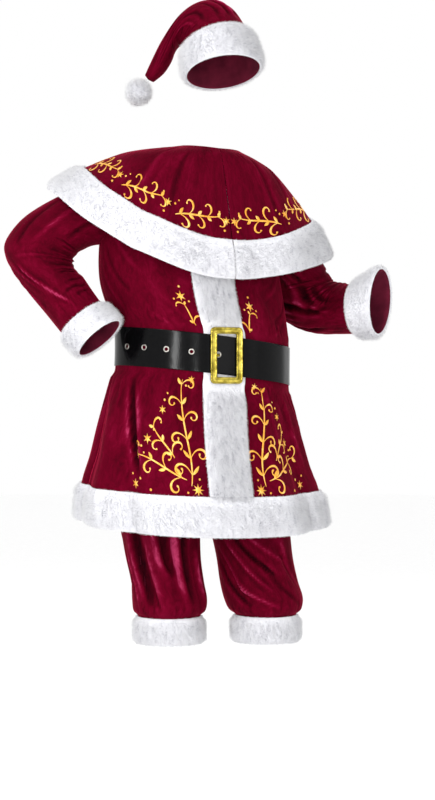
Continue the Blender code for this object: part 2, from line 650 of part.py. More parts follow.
def make_strap(vinyl, place, cutters, eyelets):
    turns = steps(0, 360 + STRAP_TAIL - STRAP_FIXED, 64)
    bm = bmesh.new()
    layers = []
    for out in (BELT_THICK, 0.0):
        rows = []
        for v in (0.0, 1.0):
            row = []
            for turn in turns:
                point = strap_point(turn, v)
                ahead = strap_point(turn + 0.5, v) - strap_point(turn - 0.5, v)
                up = strap_point(turn, 1.0) - strap_point(turn, 0.0)
                row.append(bm.verts.new(point + up.cross(ahead).normalized() * out))
            rows.append(row)
        layers.append(rows)
    (outer_low, outer_high), (inner_low, inner_high) = layers
    loops = [outer_low, outer_high, inner_high, inner_low]
    for a, b in zip(loops, loops[1:] + loops[:1]):
        for i in range(len(turns) - 1):
            bm.faces.new((a[i], a[i + 1], b[i + 1], b[i]))
    for i in (0, -1):
        bm.faces.new([loop[i] for loop in loops])
    strap = add_object("belt_strap", finish_mesh("belt_strap", bm, 30), vinyl, place)
    for number, (middle, outward, _up) in enumerate(eyelets, 1):
        bm = bmesh.new()
        bmesh.ops.create_cone(bm, cap_ends=True, segments=10, radius1=0.0057, radius2=0.0057, depth=0.02)
        bm.transform(outward.to_track_quat("Z", "Y").to_matrix().to_4x4())
        bmesh.ops.translate(bm, verts=bm.verts, vec=middle)
        cut(strap, add_cutter(f"hole_{number}", finish_mesh(f"hole_{number}", bm), cutters))


def strap_frame(angle):
    """Middle, outward direction and up direction of the strap's outer side at an angle."""
    turn = STRAP_TAIL - angle
    low = strap_point(turn, 0.0)
    high = strap_point(turn, 1.0)
    point = (low + high) / 2
    up = (high - low).normalized()
    ahead = strap_point(turn + 0.5, 0.5) - strap_point(turn - 0.5, 0.5)
    outward = up.cross(ahead).normalized()
    return point + outward * BELT_THICK, outward, up


def make_eyelet(number, frame, steel, place):
    """A turned ring: a flange on the strap and a barrel through its hole."""
    middle, outward, _up = frame
    profile = [(0.0040, 0.0012), (0.0068, 0.0012), (0.0072, 0.0006), (0.0050, 0.0006), (0.0050, -0.0016),
               (0.0040, -0.0016)]
    bm = bmesh.new()
    sides = 10
    rings = []
    for k in range(sides):
        a = 2 * math.pi * k / sides
        rings.append([bm.verts.new((r * math.cos(a), r * math.sin(a), z)) for r, z in profile])
    for k in range(sides):
        here, there = rings[k], rings[(k + 1) % sides]
        for j in range(len(profile)):
            n = (j + 1) % len(profile)
            bm.faces.new((here[j], there[j], there[n], here[n]))
    bm.transform(outward.to_track_quat("Z", "Y").to_matrix().to_4x4())
    bmesh.ops.translate(bm, verts=bm.verts, vec=middle)
    add_object(f"eyelet_{number}", finish_mesh(f"eyelet_{number}", bm, 30), steel, place)


def rounded_rectangle(width, height, radius, z, corner_steps=3):
    points = []
    for k, (sx, sy) in enumerate(((1, 1), (-1, 1), (-1, -1), (1, -1))):
        for j in range(corner_steps + 1):
            a = math.pi / 2 * (k + j / corner_steps)
            x = sx * (width / 2 - radius) + radius * math.cos(a)
            y = sy * (height / 2 - radius) + radius * math.sin(a)
            points.append(Vector((x, y, z)))
    return points


def make_buckle(brass, place, frame, seat):
    """A cast frame with a raised edge inside and outside, `seat` above the strap, and its prong."""
    middle, outward, up = frame
    right = up.cross(outward)
    bar = 0.0155
    rail = 0.003
    loops = [
        rounded_rectangle(BUCKLE_WIDTH, BUCKLE_HEIGHT, 0.010, 0.0),
        rounded_rectangle(BUCKLE_WIDTH, BUCKLE_HEIGHT, 0.010, 0.0040),
        rounded_rectangle(BUCKLE_WIDTH - 2 * rail, BUCKLE_HEIGHT - 2 * rail, 0.008, 0.0046),
        rounded_rectangle(BUCKLE_WIDTH - 3 * rail, BUCKLE_HEIGHT - 3 * rail, 0.007, 0.0030),
        rounded_rectangle(BUCKLE_WIDTH - 2 * bar + 3 * rail, BUCKLE_HEIGHT - 2 * bar + 3 * rail,
                          0.005, 0.0030),
        rounded_rectangle(BUCKLE_WIDTH - 2 * bar + 2 * rail, BUCKLE_HEIGHT - 2 * bar + 2 * rail,
                          0.004, 0.0046),
        rounded_rectangle(BUCKLE_WIDTH - 2 * bar, BUCKLE_HEIGHT - 2 * bar, 0.003, 0.0040),
        rounded_rectangle(BUCKLE_WIDTH - 2 * bar, BUCKLE_HEIGHT - 2 * bar, 0.003, 0.0),
    ]

    def placed(point):
        return middle + right * point.x + up * point.y + outward * (point.z + seat)

    bm = bmesh.new()
    rings = [[bm.verts.new(placed(point)) for point in loop] for loop in loops]
    count = len(rings[0])
    for a, b in zip(rings, rings[1:] + rings[:1]):
        for i in range(count):
            k = (i + 1) % count
            bm.faces.new((a[i], a[k], b[k], b[i]))
    add_object("belt_buckle", finish_mesh("belt_buckle", bm, 30), brass, place)
    inner_edge = -BUCKLE_WIDTH / 2 + bar + GAP
    sections = [
        (inner_edge, 0.0036, 0.0040),
        (inner_edge + 0.0045, 0.0034, 0.0038),
        (inner_edge + 0.0072, 0.0020, 0.0016),
    ]
    bm = bmesh.new()
    rings = []
    for x, half, height in sections:
        corners = [(half, 0.0), (half, 0.0018), (-half, 0.0018), (-half, 0.0)]
        rings.append([bm.verts.new(placed(Vector((x, y, z + height - 0.0018)))) for y, z in corners])
    for a, b in zip(rings, rings[1:]):
        for i in range(4):
            bm.faces.new((a[i], a[(i + 1) % 4], b[(i + 1) % 4], b[i]))
    bm.faces.new(rings[0])
    bm.faces.new(rings[-1])
    add_object("buckle_prong", finish_mesh("buckle_prong", bm, 30), brass, place)


def make_belt(vinyl, brass, steel, place, cutters):
    spacing = math.degrees(EYELET_SPACING / 0.19)
    first = -4.95
    frames = [strap_frame(first - spacing * k) for k in range(5)]
    make_strap(vinyl, place, cutters, frames)
    for number, frame in enumerate(frames, 1):
        make_eyelet(number, frame, steel, place)
    make_buckle(brass, place, strap_frame(0.0), 0.0012)


# ---- hat ----------------------------------------------------------------------------------------
def make_hat(velvet, fur, place):
    """The crown folds over to the wearer's right and ends in a fur ball; a fur band goes round it."""
    def surface(u, v, out):
        return ring_point(hat_section(v), u, out)

    us = steps(0, 360, 22)[:-1]
    last = len(HAT) - 1.0
    vs = [0.1, 0.8, 1.8, *steps(2.4, last, 10)]
    mesh = slab("hat_crown", surface, us, vs, -VELVET, 0.0, tip=True)
    add_object("hat_crown", mesh, velvet, place)
    band = slab("hat_fur", surface, us, [0.0, 0.25, 0.8, 1.8, HAT_FUR_TOP], LAID,
                pile(HAT_FUR, 0.0, HAT_FUR_TOP))
    add_object("hat_fur", band, fur, place)
    tip = sum((surface(u, last, 0) for u in us), Vector()) / len(us)
    before = sum((surface(u, last - 0.5, 0) for u in us), Vector()) / len(us)
    middle = tip + (tip - before).normalized() * (POMPOM_RADIUS + GAP)
    bm = bmesh.new()
    bmesh.ops.create_uvsphere(bm, u_segments=16, v_segments=10, radius=POMPOM_RADIUS)
    bmesh.ops.translate(bm, verts=bm.verts, vec=middle)
    add_object("hat_pompom", finish_mesh("hat_pompom", bm), fur, place)


# ---- the suit -----------------------------------------------------------------------------------
def main():
    for old in list(bpy.data.objects):
        bpy.data.objects.remove(old)
    place = collection("santa suit")
    cutters = collection("cutters")
    velvet = material("burgundy velvet", RED, 0.7)
    fur = material("white faux fur", WHITE, 0.95)
    vinyl = material("black vinyl", BLACK, 0.25)
    brass = material("polished brass", BRASS, 0.25, 1.0)
    steel = material("plated eyelet", STEEL, 0.35, 1.0)
    make_coat(velvet, fur, place, cutters)
    make_cape(velvet, fur, place)
    make_trousers(velvet, fur, place)
    make_belt(vinyl, brass, steel, place, cutters)
    make_hat(velvet, fur, place)


main()
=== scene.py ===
"""The looks of a santa suit: burgundy velvet, white faux fur, gold foil print, vinyl belt and brass buckle.

Metres, +Z up. The suit's front looks towards -Y and +X is the wearer's left. Each cloth piece is a thin
shell on the form of its solid, with the creases that the cloth takes when it is worn.
"""

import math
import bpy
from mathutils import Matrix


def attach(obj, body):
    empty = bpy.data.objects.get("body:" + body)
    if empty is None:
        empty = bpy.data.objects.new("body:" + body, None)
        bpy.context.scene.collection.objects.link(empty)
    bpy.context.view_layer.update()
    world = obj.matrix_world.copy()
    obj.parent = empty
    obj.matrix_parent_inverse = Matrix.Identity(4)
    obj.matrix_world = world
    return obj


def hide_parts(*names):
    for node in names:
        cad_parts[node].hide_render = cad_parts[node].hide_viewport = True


bl_info = {
    "name": "Santa suit",
    "version": (1, 0, 0),
    "blender": (4, 5, 0),
    "location": "View3D > Sidebar > Santa suit",
    "description": "Velvet, fur, foil print and belt for a santa suit",
    "category": "Add Mesh",
}

from collections import namedtuple

import bmesh
import bpy
import numpy as np
from mathutils import Vector

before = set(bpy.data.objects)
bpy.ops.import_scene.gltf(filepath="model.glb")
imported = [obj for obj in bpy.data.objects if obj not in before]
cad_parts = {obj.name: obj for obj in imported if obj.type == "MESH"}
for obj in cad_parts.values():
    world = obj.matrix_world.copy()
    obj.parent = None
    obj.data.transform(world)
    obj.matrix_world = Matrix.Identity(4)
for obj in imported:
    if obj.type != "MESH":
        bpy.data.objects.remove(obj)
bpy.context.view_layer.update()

# ---- driving dimensions ----
MM = 1000                  # millimetres in a metre
VELVET = 0.0018            # wall of the velvet with its backing
GAP = 0.0003               # between pieces that are sewn together
LAID = 0.0007              # between a panel and what lies on it
FUR = 0.013                # pile height of the fur trims
BELT_WIDTH = 0.090
BELT_THICK = 0.0022
BELT_LEVEL = -0.492        # height of the belt's middle
PLACKET_WIDTH = 0.104      # fur strip down the coat's front
HEM_FUR_TOP = -0.800
EYELET_SPACING = 0.055
EYELETS = 5
BUCKLE_WIDTH = 0.079
BUCKLE_HEIGHT = 0.131
POMPOM_RADIUS = 0.037
POMPOM_BASE = 0.62         # the share of its radius that is closed undercoat
CLOTH_GRID = 0.0055        # spacing of the cloth's points
PAINTED_HIGHLIGHT_RIDGE = 0.004         # how high a crease stands where its painted highlight is a full step paler

# ---- tables ----
def read_table(kind, units, *rows):
    """Rows of numbers as rows of named columns. units says how many of a column's make one as kept."""
    return [kind(*(value if unit == 1 else value / unit for value, unit in zip(row, units))) for row in rows]


# The tables' lengths are in millimetres and their angles in degrees.
# Coat: one row for each level. Centre, half width, depth to the front and to the back, roll in degrees
# about Y (+ lifts the wearer's right), and how much lower the front hangs than the middle.
Level = namedtuple("Level", "z x y half_width front back roll dip")
LEVEL_UNITS = (MM, MM, MM, MM, MM, MM, 1, MM)
COAT = read_table(
    Level, LEVEL_UNITS,
    (-884, -17, 0, 298, 236, 232, 1, 26), (-800, -22, 0, 286, 224, 220, 1.2, 18),
    (-735, -24, 0, 264, 208, 206, 1.8, 12), (-670, -24, 0, 248, 192, 190, 2.6, 8),
    (-610, -19, 0, 236, 171, 172, 4, 4), (-565, -17, 0, 224, 158, 156, 5.6, 0),
    (-540, -14, 0, 215, 156, 148, 6.3, 0), (-444, -14, 0, 215, 156, 148, 6.3, 0),
    (-415, -22, 0, 222, 157, 149, 6.8, 0), (-340, -38, 4, 230, 156, 144, 7.6, 0),
    (-250, -43, 10, 224, 146, 138, 8.6, 0), (-165, -38, 14, 212, 128, 128, 9.6, 0),
    (-105, -28, 14, 196, 110, 112, 10, 0), (-62, -18, 12, 166, 96, 96, 9.6, 0),
    (-26, -8, 6, 124, 85, 82, 8, 0), (0, 0, 0, 80, 74, 70, 5, 0),
)
# Folds of the coat: angle at the top and bottom end, heights where it starts and ends, half width in
# degrees, depth (+ out, - in).
Fold = namedtuple("Fold", "top_angle low_angle top low half_width depth")
FOLD_UNITS = (1, 1, MM, MM, 1, MM)
HEM = -1000                # the lower end, in mm, of a fold that runs out at the hem
COAT_FOLDS = read_table(
    Fold, FOLD_UNITS,
    (-60, -42, -535, HEM, 9, -13), (-76, -64, -560, HEM, 11, 10),
    (-88, -86, -545, HEM, 10, -11), (24, 30, -560, HEM, 11, 9),
    (44, 48, -545, HEM, 10, -11), (62, 70, -560, HEM, 11, 10),
    (92, 94, -545, HEM, 10, -12), (112, 118, -560, HEM, 12, 11),
    (136, 142, -545, HEM, 11, -13), (165, 164, -560, HEM, 12, 12),
    (-172, -170, -545, HEM, 10, -12), (-146, -148, -560, HEM, 12, 11),
    (-118, -122, -545, HEM, 11, -12), (-36, -52, -290, -440, 13, -7),
    (34, 60, -300, -440, 13, -7), (140, 122, -250, -440, 14, -8),
    (-150, -128, -240, -440, 14, -8),
)
# Sleeves: one row for each section, as its inner and its outer edge in the bend of the arm, and its
# half depth across the bend.
Section = namedtuple("Section", "inner_x inner_y inner_z outer_x outer_y outer_z half_depth")
SECTION_UNITS = (MM,) * 7
SLEEVE_RIGHT = read_table(
    Section, SECTION_UNITS,
    (-150, 34, -235, -165, 34, -64, 68), (-221, 32, -227, -236, 65, -62, 74),
    (-270, 32, -228, -321, 77, -98, 77), (-298, 36, -238, -392, 89, -137, 77),
    (-317, 41, -252, -437, 101, -173, 76), (-324, 41, -267, -470, 107, -221, 75),
    (-324, 37, -276, -471, 101, -257, 74), (-318, 28, -291, -451, 85, -300, 74),
    (-308, 10, -306, -426, 57, -345, 73), (-296, -16, -335, -394, 23, -394, 69),
    (-278, -46, -371, -362, -11, -444, 60),
)
SLEEVE_LEFT = read_table(
    Section, SECTION_UNITS,
    (140, -36, -184, 140, 98, -184, 70), (220, -40, -216, 208, 104, -212, 70),
    (275, -10, -278, 225, 116, -248, 68), (308, 2, -300, 222, 154, -318, 73),
    (322, 0, -305, 238, 156, -366, 73), (332, -8, -308, 270, 121, -398, 71),
    (342, -18, -310, 298, 65, -420, 68), (350, -32, -313, 332, 12, -431, 64),
    (355, -50, -319, 363, -61, -434, 60),
)
# The direction across each sleeve, from its shoulder to its cuff. At the elbow the sleeve bends about it.
ACROSS_RIGHT = [(0.15, 0.98, 0.0), (0.38, 0.92, -0.04), (0.43, 0.89, -0.11), (0.456, 0.877, -0.160)]
ACROSS_LEFT = [(0.30, 0.0, 1.0), (0.88, 0.40, 0.20), (0.757, 0.560, 0.300), (0.697, 0.715, 0.0)]
# Fur cuffs carry on from the sleeve's last section: inner and outer edge of the opening, half depth.
CUFF_RIGHT, CUFF_LEFT = read_table(
    Section, SECTION_UNITS,
    (-251, -92, -415, -332, -52, -490, 66), (412, -107, -277, 404, -97, -434, 77),
)
# Cape: one row for each direction from the neck. Radius and height of the neckline, the shoulder, the
# seam of the fur and the lower edge.
Ray = namedtuple("Ray", "angle neck_r neck_z top_r top_z seam_r seam_z edge_r edge_z")
RAY_UNITS = (1, *(MM,) * 8)
CAPE = read_table(
    Ray, RAY_UNITS,
    (0, 77, 0, 108, -45, 166, -232, 182, -316), (30, 76, 0, 128, -50, 180, -225, 204, -306),
    (60, 77, 0, 160, -58, 226, -194, 258, -278), (90, 78, 0, 172, -56, 262, -156, 310, -244),
    (105, 77, 1, 168, -50, 266, -140, 334, -226), (120, 76, 2, 158, -45, 250, -148, 308, -242),
    (150, 71, 4, 136, -38, 200, -186, 230, -282), (180, 70, 6, 130, -32, 178, -206, 200, -300),
    (210, 74, 7, 144, -24, 222, -160, 258, -254), (240, 80, 9, 188, -6, 286, -46, 352, -92),
    (255, 82, 10, 198, -4, 304, -46, 384, -94), (270, 83, 10, 194, -10, 294, -70, 366, -124),
    (285, 82, 9, 182, -20, 270, -116, 326, -186), (300, 81, 8, 166, -32, 240, -165, 276, -246),
    (330, 79, 4, 130, -46, 184, -216, 208, -302),
)
CAPE_OPENING = 0.0020      # between the cape's front edges
# Trouser legs: a level's middle, half width and half depth, and the roll of the level in degrees.
LegLevel = namedtuple("LegLevel", "z x y half_width half_depth roll")
LEG_UNITS = (MM, MM, MM, MM, MM, 1)
SEAT_X = -0.014            # the centre seam of the trousers
LEG_RIGHT = read_table(
    LegLevel, LEG_UNITS,
    (-1136, -88, 31, 71, 74, 0), (-1112, -88, 31, 74, 77, 0),
    (-1098, -87, 31, 87, 88, 0), (-1070, -87, 31, 90, 92, 0),
    (-1030, -92, 32, 87, 94, 0), (-970, -102, 34, 89, 100, 0),
    (-890, -112, 30, 95, 112, 0), (-820, -118, 22, 100, 126, 0),
    (-760, -122, 14, 108, 140, 1), (-700, -110, 6, 116, 142, 2),
    (-620, -70, 0, 140, 140, 4), (-550, -30, -4, 170, 138, 6.3),
    (-513.4, -14, -4, 208, 145.5, 6.3),
)
LEG_LEFT = read_table(
    LegLevel, LEG_UNITS,
    (-1136, 141, -20, 69, 72, 0), (-1112, 141, -20, 72, 75, 0),
    (-1098, 139, -20, 88, 88, 0), (-1070, 135, -18, 96, 94, 0),
    (-1030, 125, -14, 94, 96, 0), (-970, 115, -10, 91, 102, 0),
    (-890, 104, -4, 95, 114, 0), (-820, 98, 2, 100, 128, 0),
    (-760, 94, 4, 108, 140, 1), (-700, 82, 4, 116, 142, 2),
    (-620, 42, 0, 140, 140, 4), (-550, 2, -4, 170, 138, 6.3),
    (-513.4, -14, -4, 208, 145.5, 6.3),
)
CROTCH = -0.760
LEG_FUR_TOP = -1.1125
LEG_FUR_BOTTOM = -1.176
LEG_RIGHT_FOLDS = read_table(
    Fold, FOLD_UNITS,
    (-56, -40, -860, -1120, 15, -13), (-12, 4, -850, -1120, 15, -14),
    (26, 40, -880, -1120, 15, -12), (-30, -18, -860, -1120, 15, 6),
    (110, 128, -860, -1120, 17, -12), (168, 180, -850, -1120, 17, -13),
    (-128, -116, -870, -1120, 16, -11),
)
LEG_LEFT_FOLDS = read_table(
    Fold, FOLD_UNITS,
    (-52, 20, -880, -1090, 15, -10), (-84, -30, -940, -1120, 14, -9),
    (-10, 60, -870, -1060, 15, -9), (96, 128, -870, -1110, 17, -11),
    (152, 172, -860, -1110, 17, -12), (-146, -128, -870, -1110, 16, -11),
)
# Hat: sections from its opening to its tip, in a frame turned by HAT_TURN about Z. Inner and outer edge
# across and up, how far back the middle lies, and the half depth.
HAT_TURN = -20.0
HAT_LEAN = 12.0            # the hat tips back, so its band is higher at the front
HatRing = namedtuple("HatRing", "inner_x inner_z outer_x outer_z back half_depth")
HAT_UNITS = (MM,) * 6
HAT = read_table(
    HatRing, HAT_UNITS,
    (-50, 176, 124, 198, -20, 106), (-53, 214, 112, 240, -14, 106),
    (-54, 248, 94, 284, -6, 100), (-56, 257, 72, 322, 0, 88),
    (-61, 263, 40, 348, 6, 78), (-68, 264, 6, 360, 10, 68),
    (-75, 258, -36, 350, 14, 58), (-80, 246, -76, 318, 16, 48),
    (-88, 222, -112, 268, 18, 37), (-106, 194, -138, 218, 20, 26),
    (-134, 170, -154, 184, 22, 12),
)
HAT_FUR_TOP = 2.0          # the fur band covers the hat's first sections, up to this row
HAT_FUR = 0.011


# ---- curves and surfaces ----
def spline(rows, t, closed=False):
    """Points of a smooth curve through rows of numbers, at the values t counted in rows.

    rows may also hold a row of its own for each t, as an array of count x len(t) x numbers.
    """
    rows = np.asarray(rows, float)
    t = np.atleast_1d(np.asarray(t, float))
    count = len(rows)
    if rows.ndim == 2:
        rows = np.repeat(rows[:, None, :], len(t), axis=1)
    column = np.arange(len(t))
    if closed:
        i = np.floor(t).astype(int)
        a, b, c, d = (rows[(i + k) % count, column] for k in (-1, 0, 1, 2))
    else:
        t = np.clip(t, 0.0, count - 1.0)
        i = np.minimum(np.floor(t).astype(int), count - 2)
        a, b, c, d = (rows[np.clip(i + k, 0, count - 1), column] for k in (-1, 0, 1, 2))
    f = (t - i)[:, None]
    return 0.5 * (2 * b + (c - a) * f + (2 * a - 5 * b + 4 * c - d) * f**2 + (3 * b - a - 3 * c + d) * f**3)


def smooth(x):
    """0 below 0, 1 above 1, and a soft step between them."""
    x = np.clip(x, 0.0, 1.0)
    return x * x * (3 - 2 * x)


def unit(vectors):
    return vectors / np.maximum(np.linalg.norm(vectors, axis=-1, keepdims=True), 1e-12)


def fold_depth(folds, angle, z):
    """How far the folds push the cloth out at angles in degrees and heights."""
    total = np.zeros(np.broadcast(angle, z).shape)
    for fold in folds:
        down = (fold.top - z) / (fold.top - fold.low)
        middle = fold.top_angle + (fold.low_angle - fold.top_angle) * down
        off = np.abs((angle - middle + 180) % 360 - 180) / fold.half_width
        ends = smooth(3 * down) * (1.0 if fold.low == HEM / MM else smooth(3 * (1 - down)))
        inside = (off < 1) & (down > 0) & (down < 1)
        total += np.where(inside, fold.depth * ends * np.cos(np.minimum(off, 1) * np.pi / 2) ** 2, 0.0)
    return total


def level_point(level, angle, out):
    """Points of ovals with separate front and back depths, `out` beyond them."""
    z, x, y, half_width, front, back, roll, dip = level
    s = np.sin(np.radians(angle))
    c = np.cos(np.radians(angle))
    across = (half_width + out) * s
    depth = np.where(c > 0, front, back) + out
    lean = np.radians(roll)
    points = (x + across * np.cos(lean), y - depth * c, z - dip * c - across * np.sin(lean))
    return np.stack(np.broadcast_arrays(*points), axis=-1)


def coat_point(angle, t):
    """The coat's outer surface at angles round the body and at rows t of its table."""
    level = spline(COAT, t).T
    return level_point(level, angle, fold_depth(COAT_FOLDS, angle, level[0]))


def cape_point(angle, t):
    """The cape's outer surface: t is 0 at the lower edge, 1 fur seam, 2 shoulder, 3 neckline."""
    angle = np.asarray(angle, float)
    turn = angle % 360
    starts = np.array([row.angle for row in CAPE] + [360.0])
    i = np.searchsorted(starts, turn, side="right") - 1
    row = spline(CAPE, i + (turn - starts[i]) / (starts[i + 1] - starts[i]), closed=True)
    profile = np.stack([row[:, 1:3], row[:, 3:5], row[:, 5:7], row[:, 7:9]])
    radius, z = spline(profile, 3 - t).T
    radius = radius + 0.004 * smooth(2 - t) * np.cos(np.radians(9 * angle))
    return np.stack((radius * np.sin(np.radians(angle)), -radius * np.cos(np.radians(angle)), z), axis=-1)


def leg_point(leg, angle, t):
    """A trouser leg's outer surface at angles round the leg and at rows t of its table."""
    z, x, y, half_width, half_depth, roll = spline(leg.table, t).T
    level = (z, x, y, half_width, half_depth, half_depth, 0.0, 0.0)
    points = level_point(level, angle, fold_depth(leg.folds, angle, z))
    points[:, 2] -= (points[:, 0] - SEAT_X) * np.tan(np.radians(roll))
    return points


def ring_point(section, turn, out):
    """Points of a tube's sections, `turn` in degrees from the outer edge and `out` beyond the wall."""
    inner, outer, half_depth, across = section
    side = (outer - inner) / 2
    length = np.linalg.norm(side, axis=-1)
    phi = np.radians(turn)
    reach = side * ((length + out) / length * np.cos(phi))[:, None]
    return (inner + outer) / 2 + reach + across * ((half_depth + out) * np.sin(phi))[:, None]


def sleeve_section(table, directions, t):
    row = spline(table, t)
    across = unit(spline(directions, t / (len(table) - 1) * (len(directions) - 1)))
    return row[:, :3], row[:, 3:6], row[:, 6], across


def hat_section(t):
    inner_x, inner_z, outer_x, outer_z, depth, half_depth = spline(HAT, t).T
    turn = math.radians(HAT_TURN)
    lean = math.radians(HAT_LEAN)
    right = np.array((math.cos(turn), math.sin(turn), 0.0))
    back = np.array((-math.sin(turn), math.cos(turn), 0.0))
    up = np.array((0.0, 0.0, 1.0))
    middle = np.outer(depth, back)
    inner = np.outer(inner_x, right) + np.outer(inner_z, up) + middle
    outer = np.outer(outer_x, right) + np.outer(outer_z, up) + middle
    across = back * math.cos(lean) - up * math.sin(lean)
    return inner, outer, half_depth, np.repeat(across[None], len(inner), axis=0)


def normal_of(surface, u, v, step_u=0.6, step_v=0.04):
    """Outward normals of a surface whose u runs round it and whose v runs up or along it."""
    du = surface(u + step_u, v) - surface(u - step_u, v)
    dv = surface(u, v + step_v) - surface(u, v - step_v)
    return unit(np.cross(du, dv))


def row_at(table, z):
    """The row numbers, with their fractions, at which a table of levels reaches heights."""
    rows = np.linspace(0.0, len(table) - 1.0, 40 * len(table))
    return np.interp(z, spline(table, rows)[:, 0], rows)


# ---- creases ----
# A crease is a soft ridge (+ depth) or trough (- depth) from one point of a panel to another, bowed
# sideways by bend. Its places are angle or turn in degrees and height or row, as the panel's own.
Crease = namedtuple("Crease", "u0 v0 u1 v1 bend width depth")
AT_HEIGHTS = (1, MM, 1, MM, MM, MM, MM)
AT_ROWS = (1, 1, 1, 1, MM, MM, MM)
# A fan is a group of finer creases that leave a line from (u0, v0) to (u1, v1) in the direction
# (du, dv), each as long and as deep as its own random draw of the fan's sizes says.
Fan = namedtuple("Fan", "u0 v0 u1 v1 du dv count width depth seed")
FANS_AT_HEIGHTS = (1, MM, 1, MM, 1, MM, 1, MM, MM, 1)
FANS_AT_ROWS = (1, 1, 1, 1, 1, 1, 1, MM, MM, 1)


def open_fan(fan):
    """The creases of a fan."""
    draw = np.random.default_rng(fan.seed)
    made = []
    for k in range(fan.count):
        along = (k + draw.uniform(0.1, 0.9)) / fan.count
        u = fan.u0 + (fan.u1 - fan.u0) * along
        v = fan.v0 + (fan.v1 - fan.v0) * along
        reach = draw.uniform(0.45, 1.0)
        turn = draw.uniform(-0.16, 0.16)
        width = fan.width * draw.uniform(0.7, 1.35)
        made.append(Crease(u, v, u + reach * fan.du + turn * fan.dv * 60, v + reach * fan.dv,
                           draw.uniform(-0.012, 0.012), width, fan.depth * draw.uniform(0.35, 1.0)))
    return made


def crease_depth(creases, u, v, metres_u, metres_v):
    """How far creases push a panel out. metres_u and metres_v turn its u and v into lengths."""
    total = np.zeros(len(u))
    for crease in creases:
        chord_u = (crease.u1 - crease.u0) * metres_u
        chord_v = (crease.v1 - crease.v0) * metres_v
        length = math.hypot(chord_u, chord_v)
        middle = (crease.u1 - crease.u0) / 2
        pu = ((u - crease.u0 - middle + 180) % 360 - 180 + middle) * metres_u
        pv = (v - crease.v0) * metres_v
        share = (pu * chord_u + pv * chord_v) / length**2
        off = (pu * chord_v - pv * chord_u) / length - crease.bend * 4 * share * (1 - share)
        near = (share > 0) & (share < 1) & (np.abs(off) < 4 * crease.width)
        s = share[near]
        d = off[near] / crease.width
        taper = smooth(s / 0.3) * smooth((1 - s) / 0.3)
        side = 0.35 * np.exp(-((d - 1.7) / 1.1) ** 2) + 0.25 * np.exp(-((d + 1.7) / 1.3) ** 2)
        total[near] += crease.depth * taper * (np.exp(-(d**2)) - side)
    return total


def crumple(settings, creases, fans, metres_u, metres_v):
    """A function that gives the depth of a panel's creases and of the creases of its fans."""
    creases = creases + [crease for fan in fans for crease in open_fan(fan)]

    def depth(u, v):
        return settings.crease_strength * crease_depth(creases, u, v, metres_u, metres_v)

    return depth


# ---- making meshes ----
def lengths(points):
    """How far along a line each of its points lies."""
    return np.concatenate([[0.0], np.cumsum(np.linalg.norm(np.diff(points, axis=0), axis=1))])


def all_round(count, start=0):
    """Angles in degrees, equally far apart on a full turn."""
    return np.linspace(start, start + 360, count + 1)[:-1]


def lengths_up(place, angle, v):
    """How far each row lies along a surface at one angle."""
    return lengths(place(np.full(len(v), float(angle)), v, np.zeros(len(v))))


def even_rows(place, angle, first, last, spacing=CLOTH_GRID):
    """Values of v from first to last, an equal length apart along the surface at one angle."""
    v = np.linspace(first, last, 400)
    along = lengths_up(place, angle, v)
    count = max(3, round(along[-1] / spacing))
    return np.interp(np.linspace(0.0, along[-1], count + 1), along, v)


def flat_grid(us, vs):
    """The u and v of each point of a grid, row by row."""
    u, v = np.meshgrid(us, vs)
    return u.ravel(), v.ravel()


def grid_quads(rows, columns, closed):
    """The faces of a grid of points, row by row, and the column and row of each face's corners."""
    spans = columns if closed else columns - 1
    j, i = (a.ravel() for a in np.meshgrid(np.arange(rows - 1), np.arange(spans), indexing="ij"))
    column = np.stack((i, i + 1, i + 1, i), axis=1)
    row = np.stack((j, j, j + 1, j + 1), axis=1)
    return row * columns + column % columns, column, row


DRESSED = "_dressed"       # ends the name of each piece that stands for a plain solid
SAME_PLACE = 0.00002       # points nearer than this are one


def new_object(name, mesh, finishes):
    body = bpy.data.objects.new(name + DRESSED, mesh)
    for finish in finishes:
        mesh.materials.append(finish)
    bpy.context.scene.collection.objects.link(body)
    return body


def mesh_of(name, points, faces=()):
    mesh = bpy.data.meshes.new(name)
    mesh.from_pydata(np.asarray(points).tolist(), [], faces)
    return mesh


def mesh_from(name, bm):
    """The mesh of a bmesh, which is freed."""
    mesh = bpy.data.meshes.new(name)
    bm.to_mesh(mesh)
    bm.free()
    return mesh


def smooth_mesh(name, bm):
    """The mesh of a bmesh with its faces turned out and shaded smooth."""
    bmesh.ops.recalc_face_normals(bm, faces=bm.faces)
    mesh = mesh_from(name, bm)
    mesh.shade_smooth()
    return mesh


def bridge(bm, rings, closed=True):
    """Faces between rings of points, each ring and the next."""
    for a, b in zip(rings, rings[1:]):
        for i in range(len(a) if closed else len(a) - 1):
            k = (i + 1) % len(a)
            bm.faces.new((a[i], a[k], b[k], b[i]))


def store(mesh, name, kind, values):
    """Keep a value for each point of a mesh."""
    data = mesh.attributes.new(name, kind, "POINT").data
    data.foreach_set("vector" if kind == "FLOAT_VECTOR" else "value", np.asarray(values, np.float32).ravel())


def face_out(mesh):
    """Turn all faces if the closed mesh is inside out."""
    bm = bmesh.new()
    bm.from_mesh(mesh)
    if bm.calc_volume(signed=True) < 0:
        bmesh.ops.reverse_faces(bm, faces=bm.faces)
        bm.to_mesh(mesh)
    bm.free()


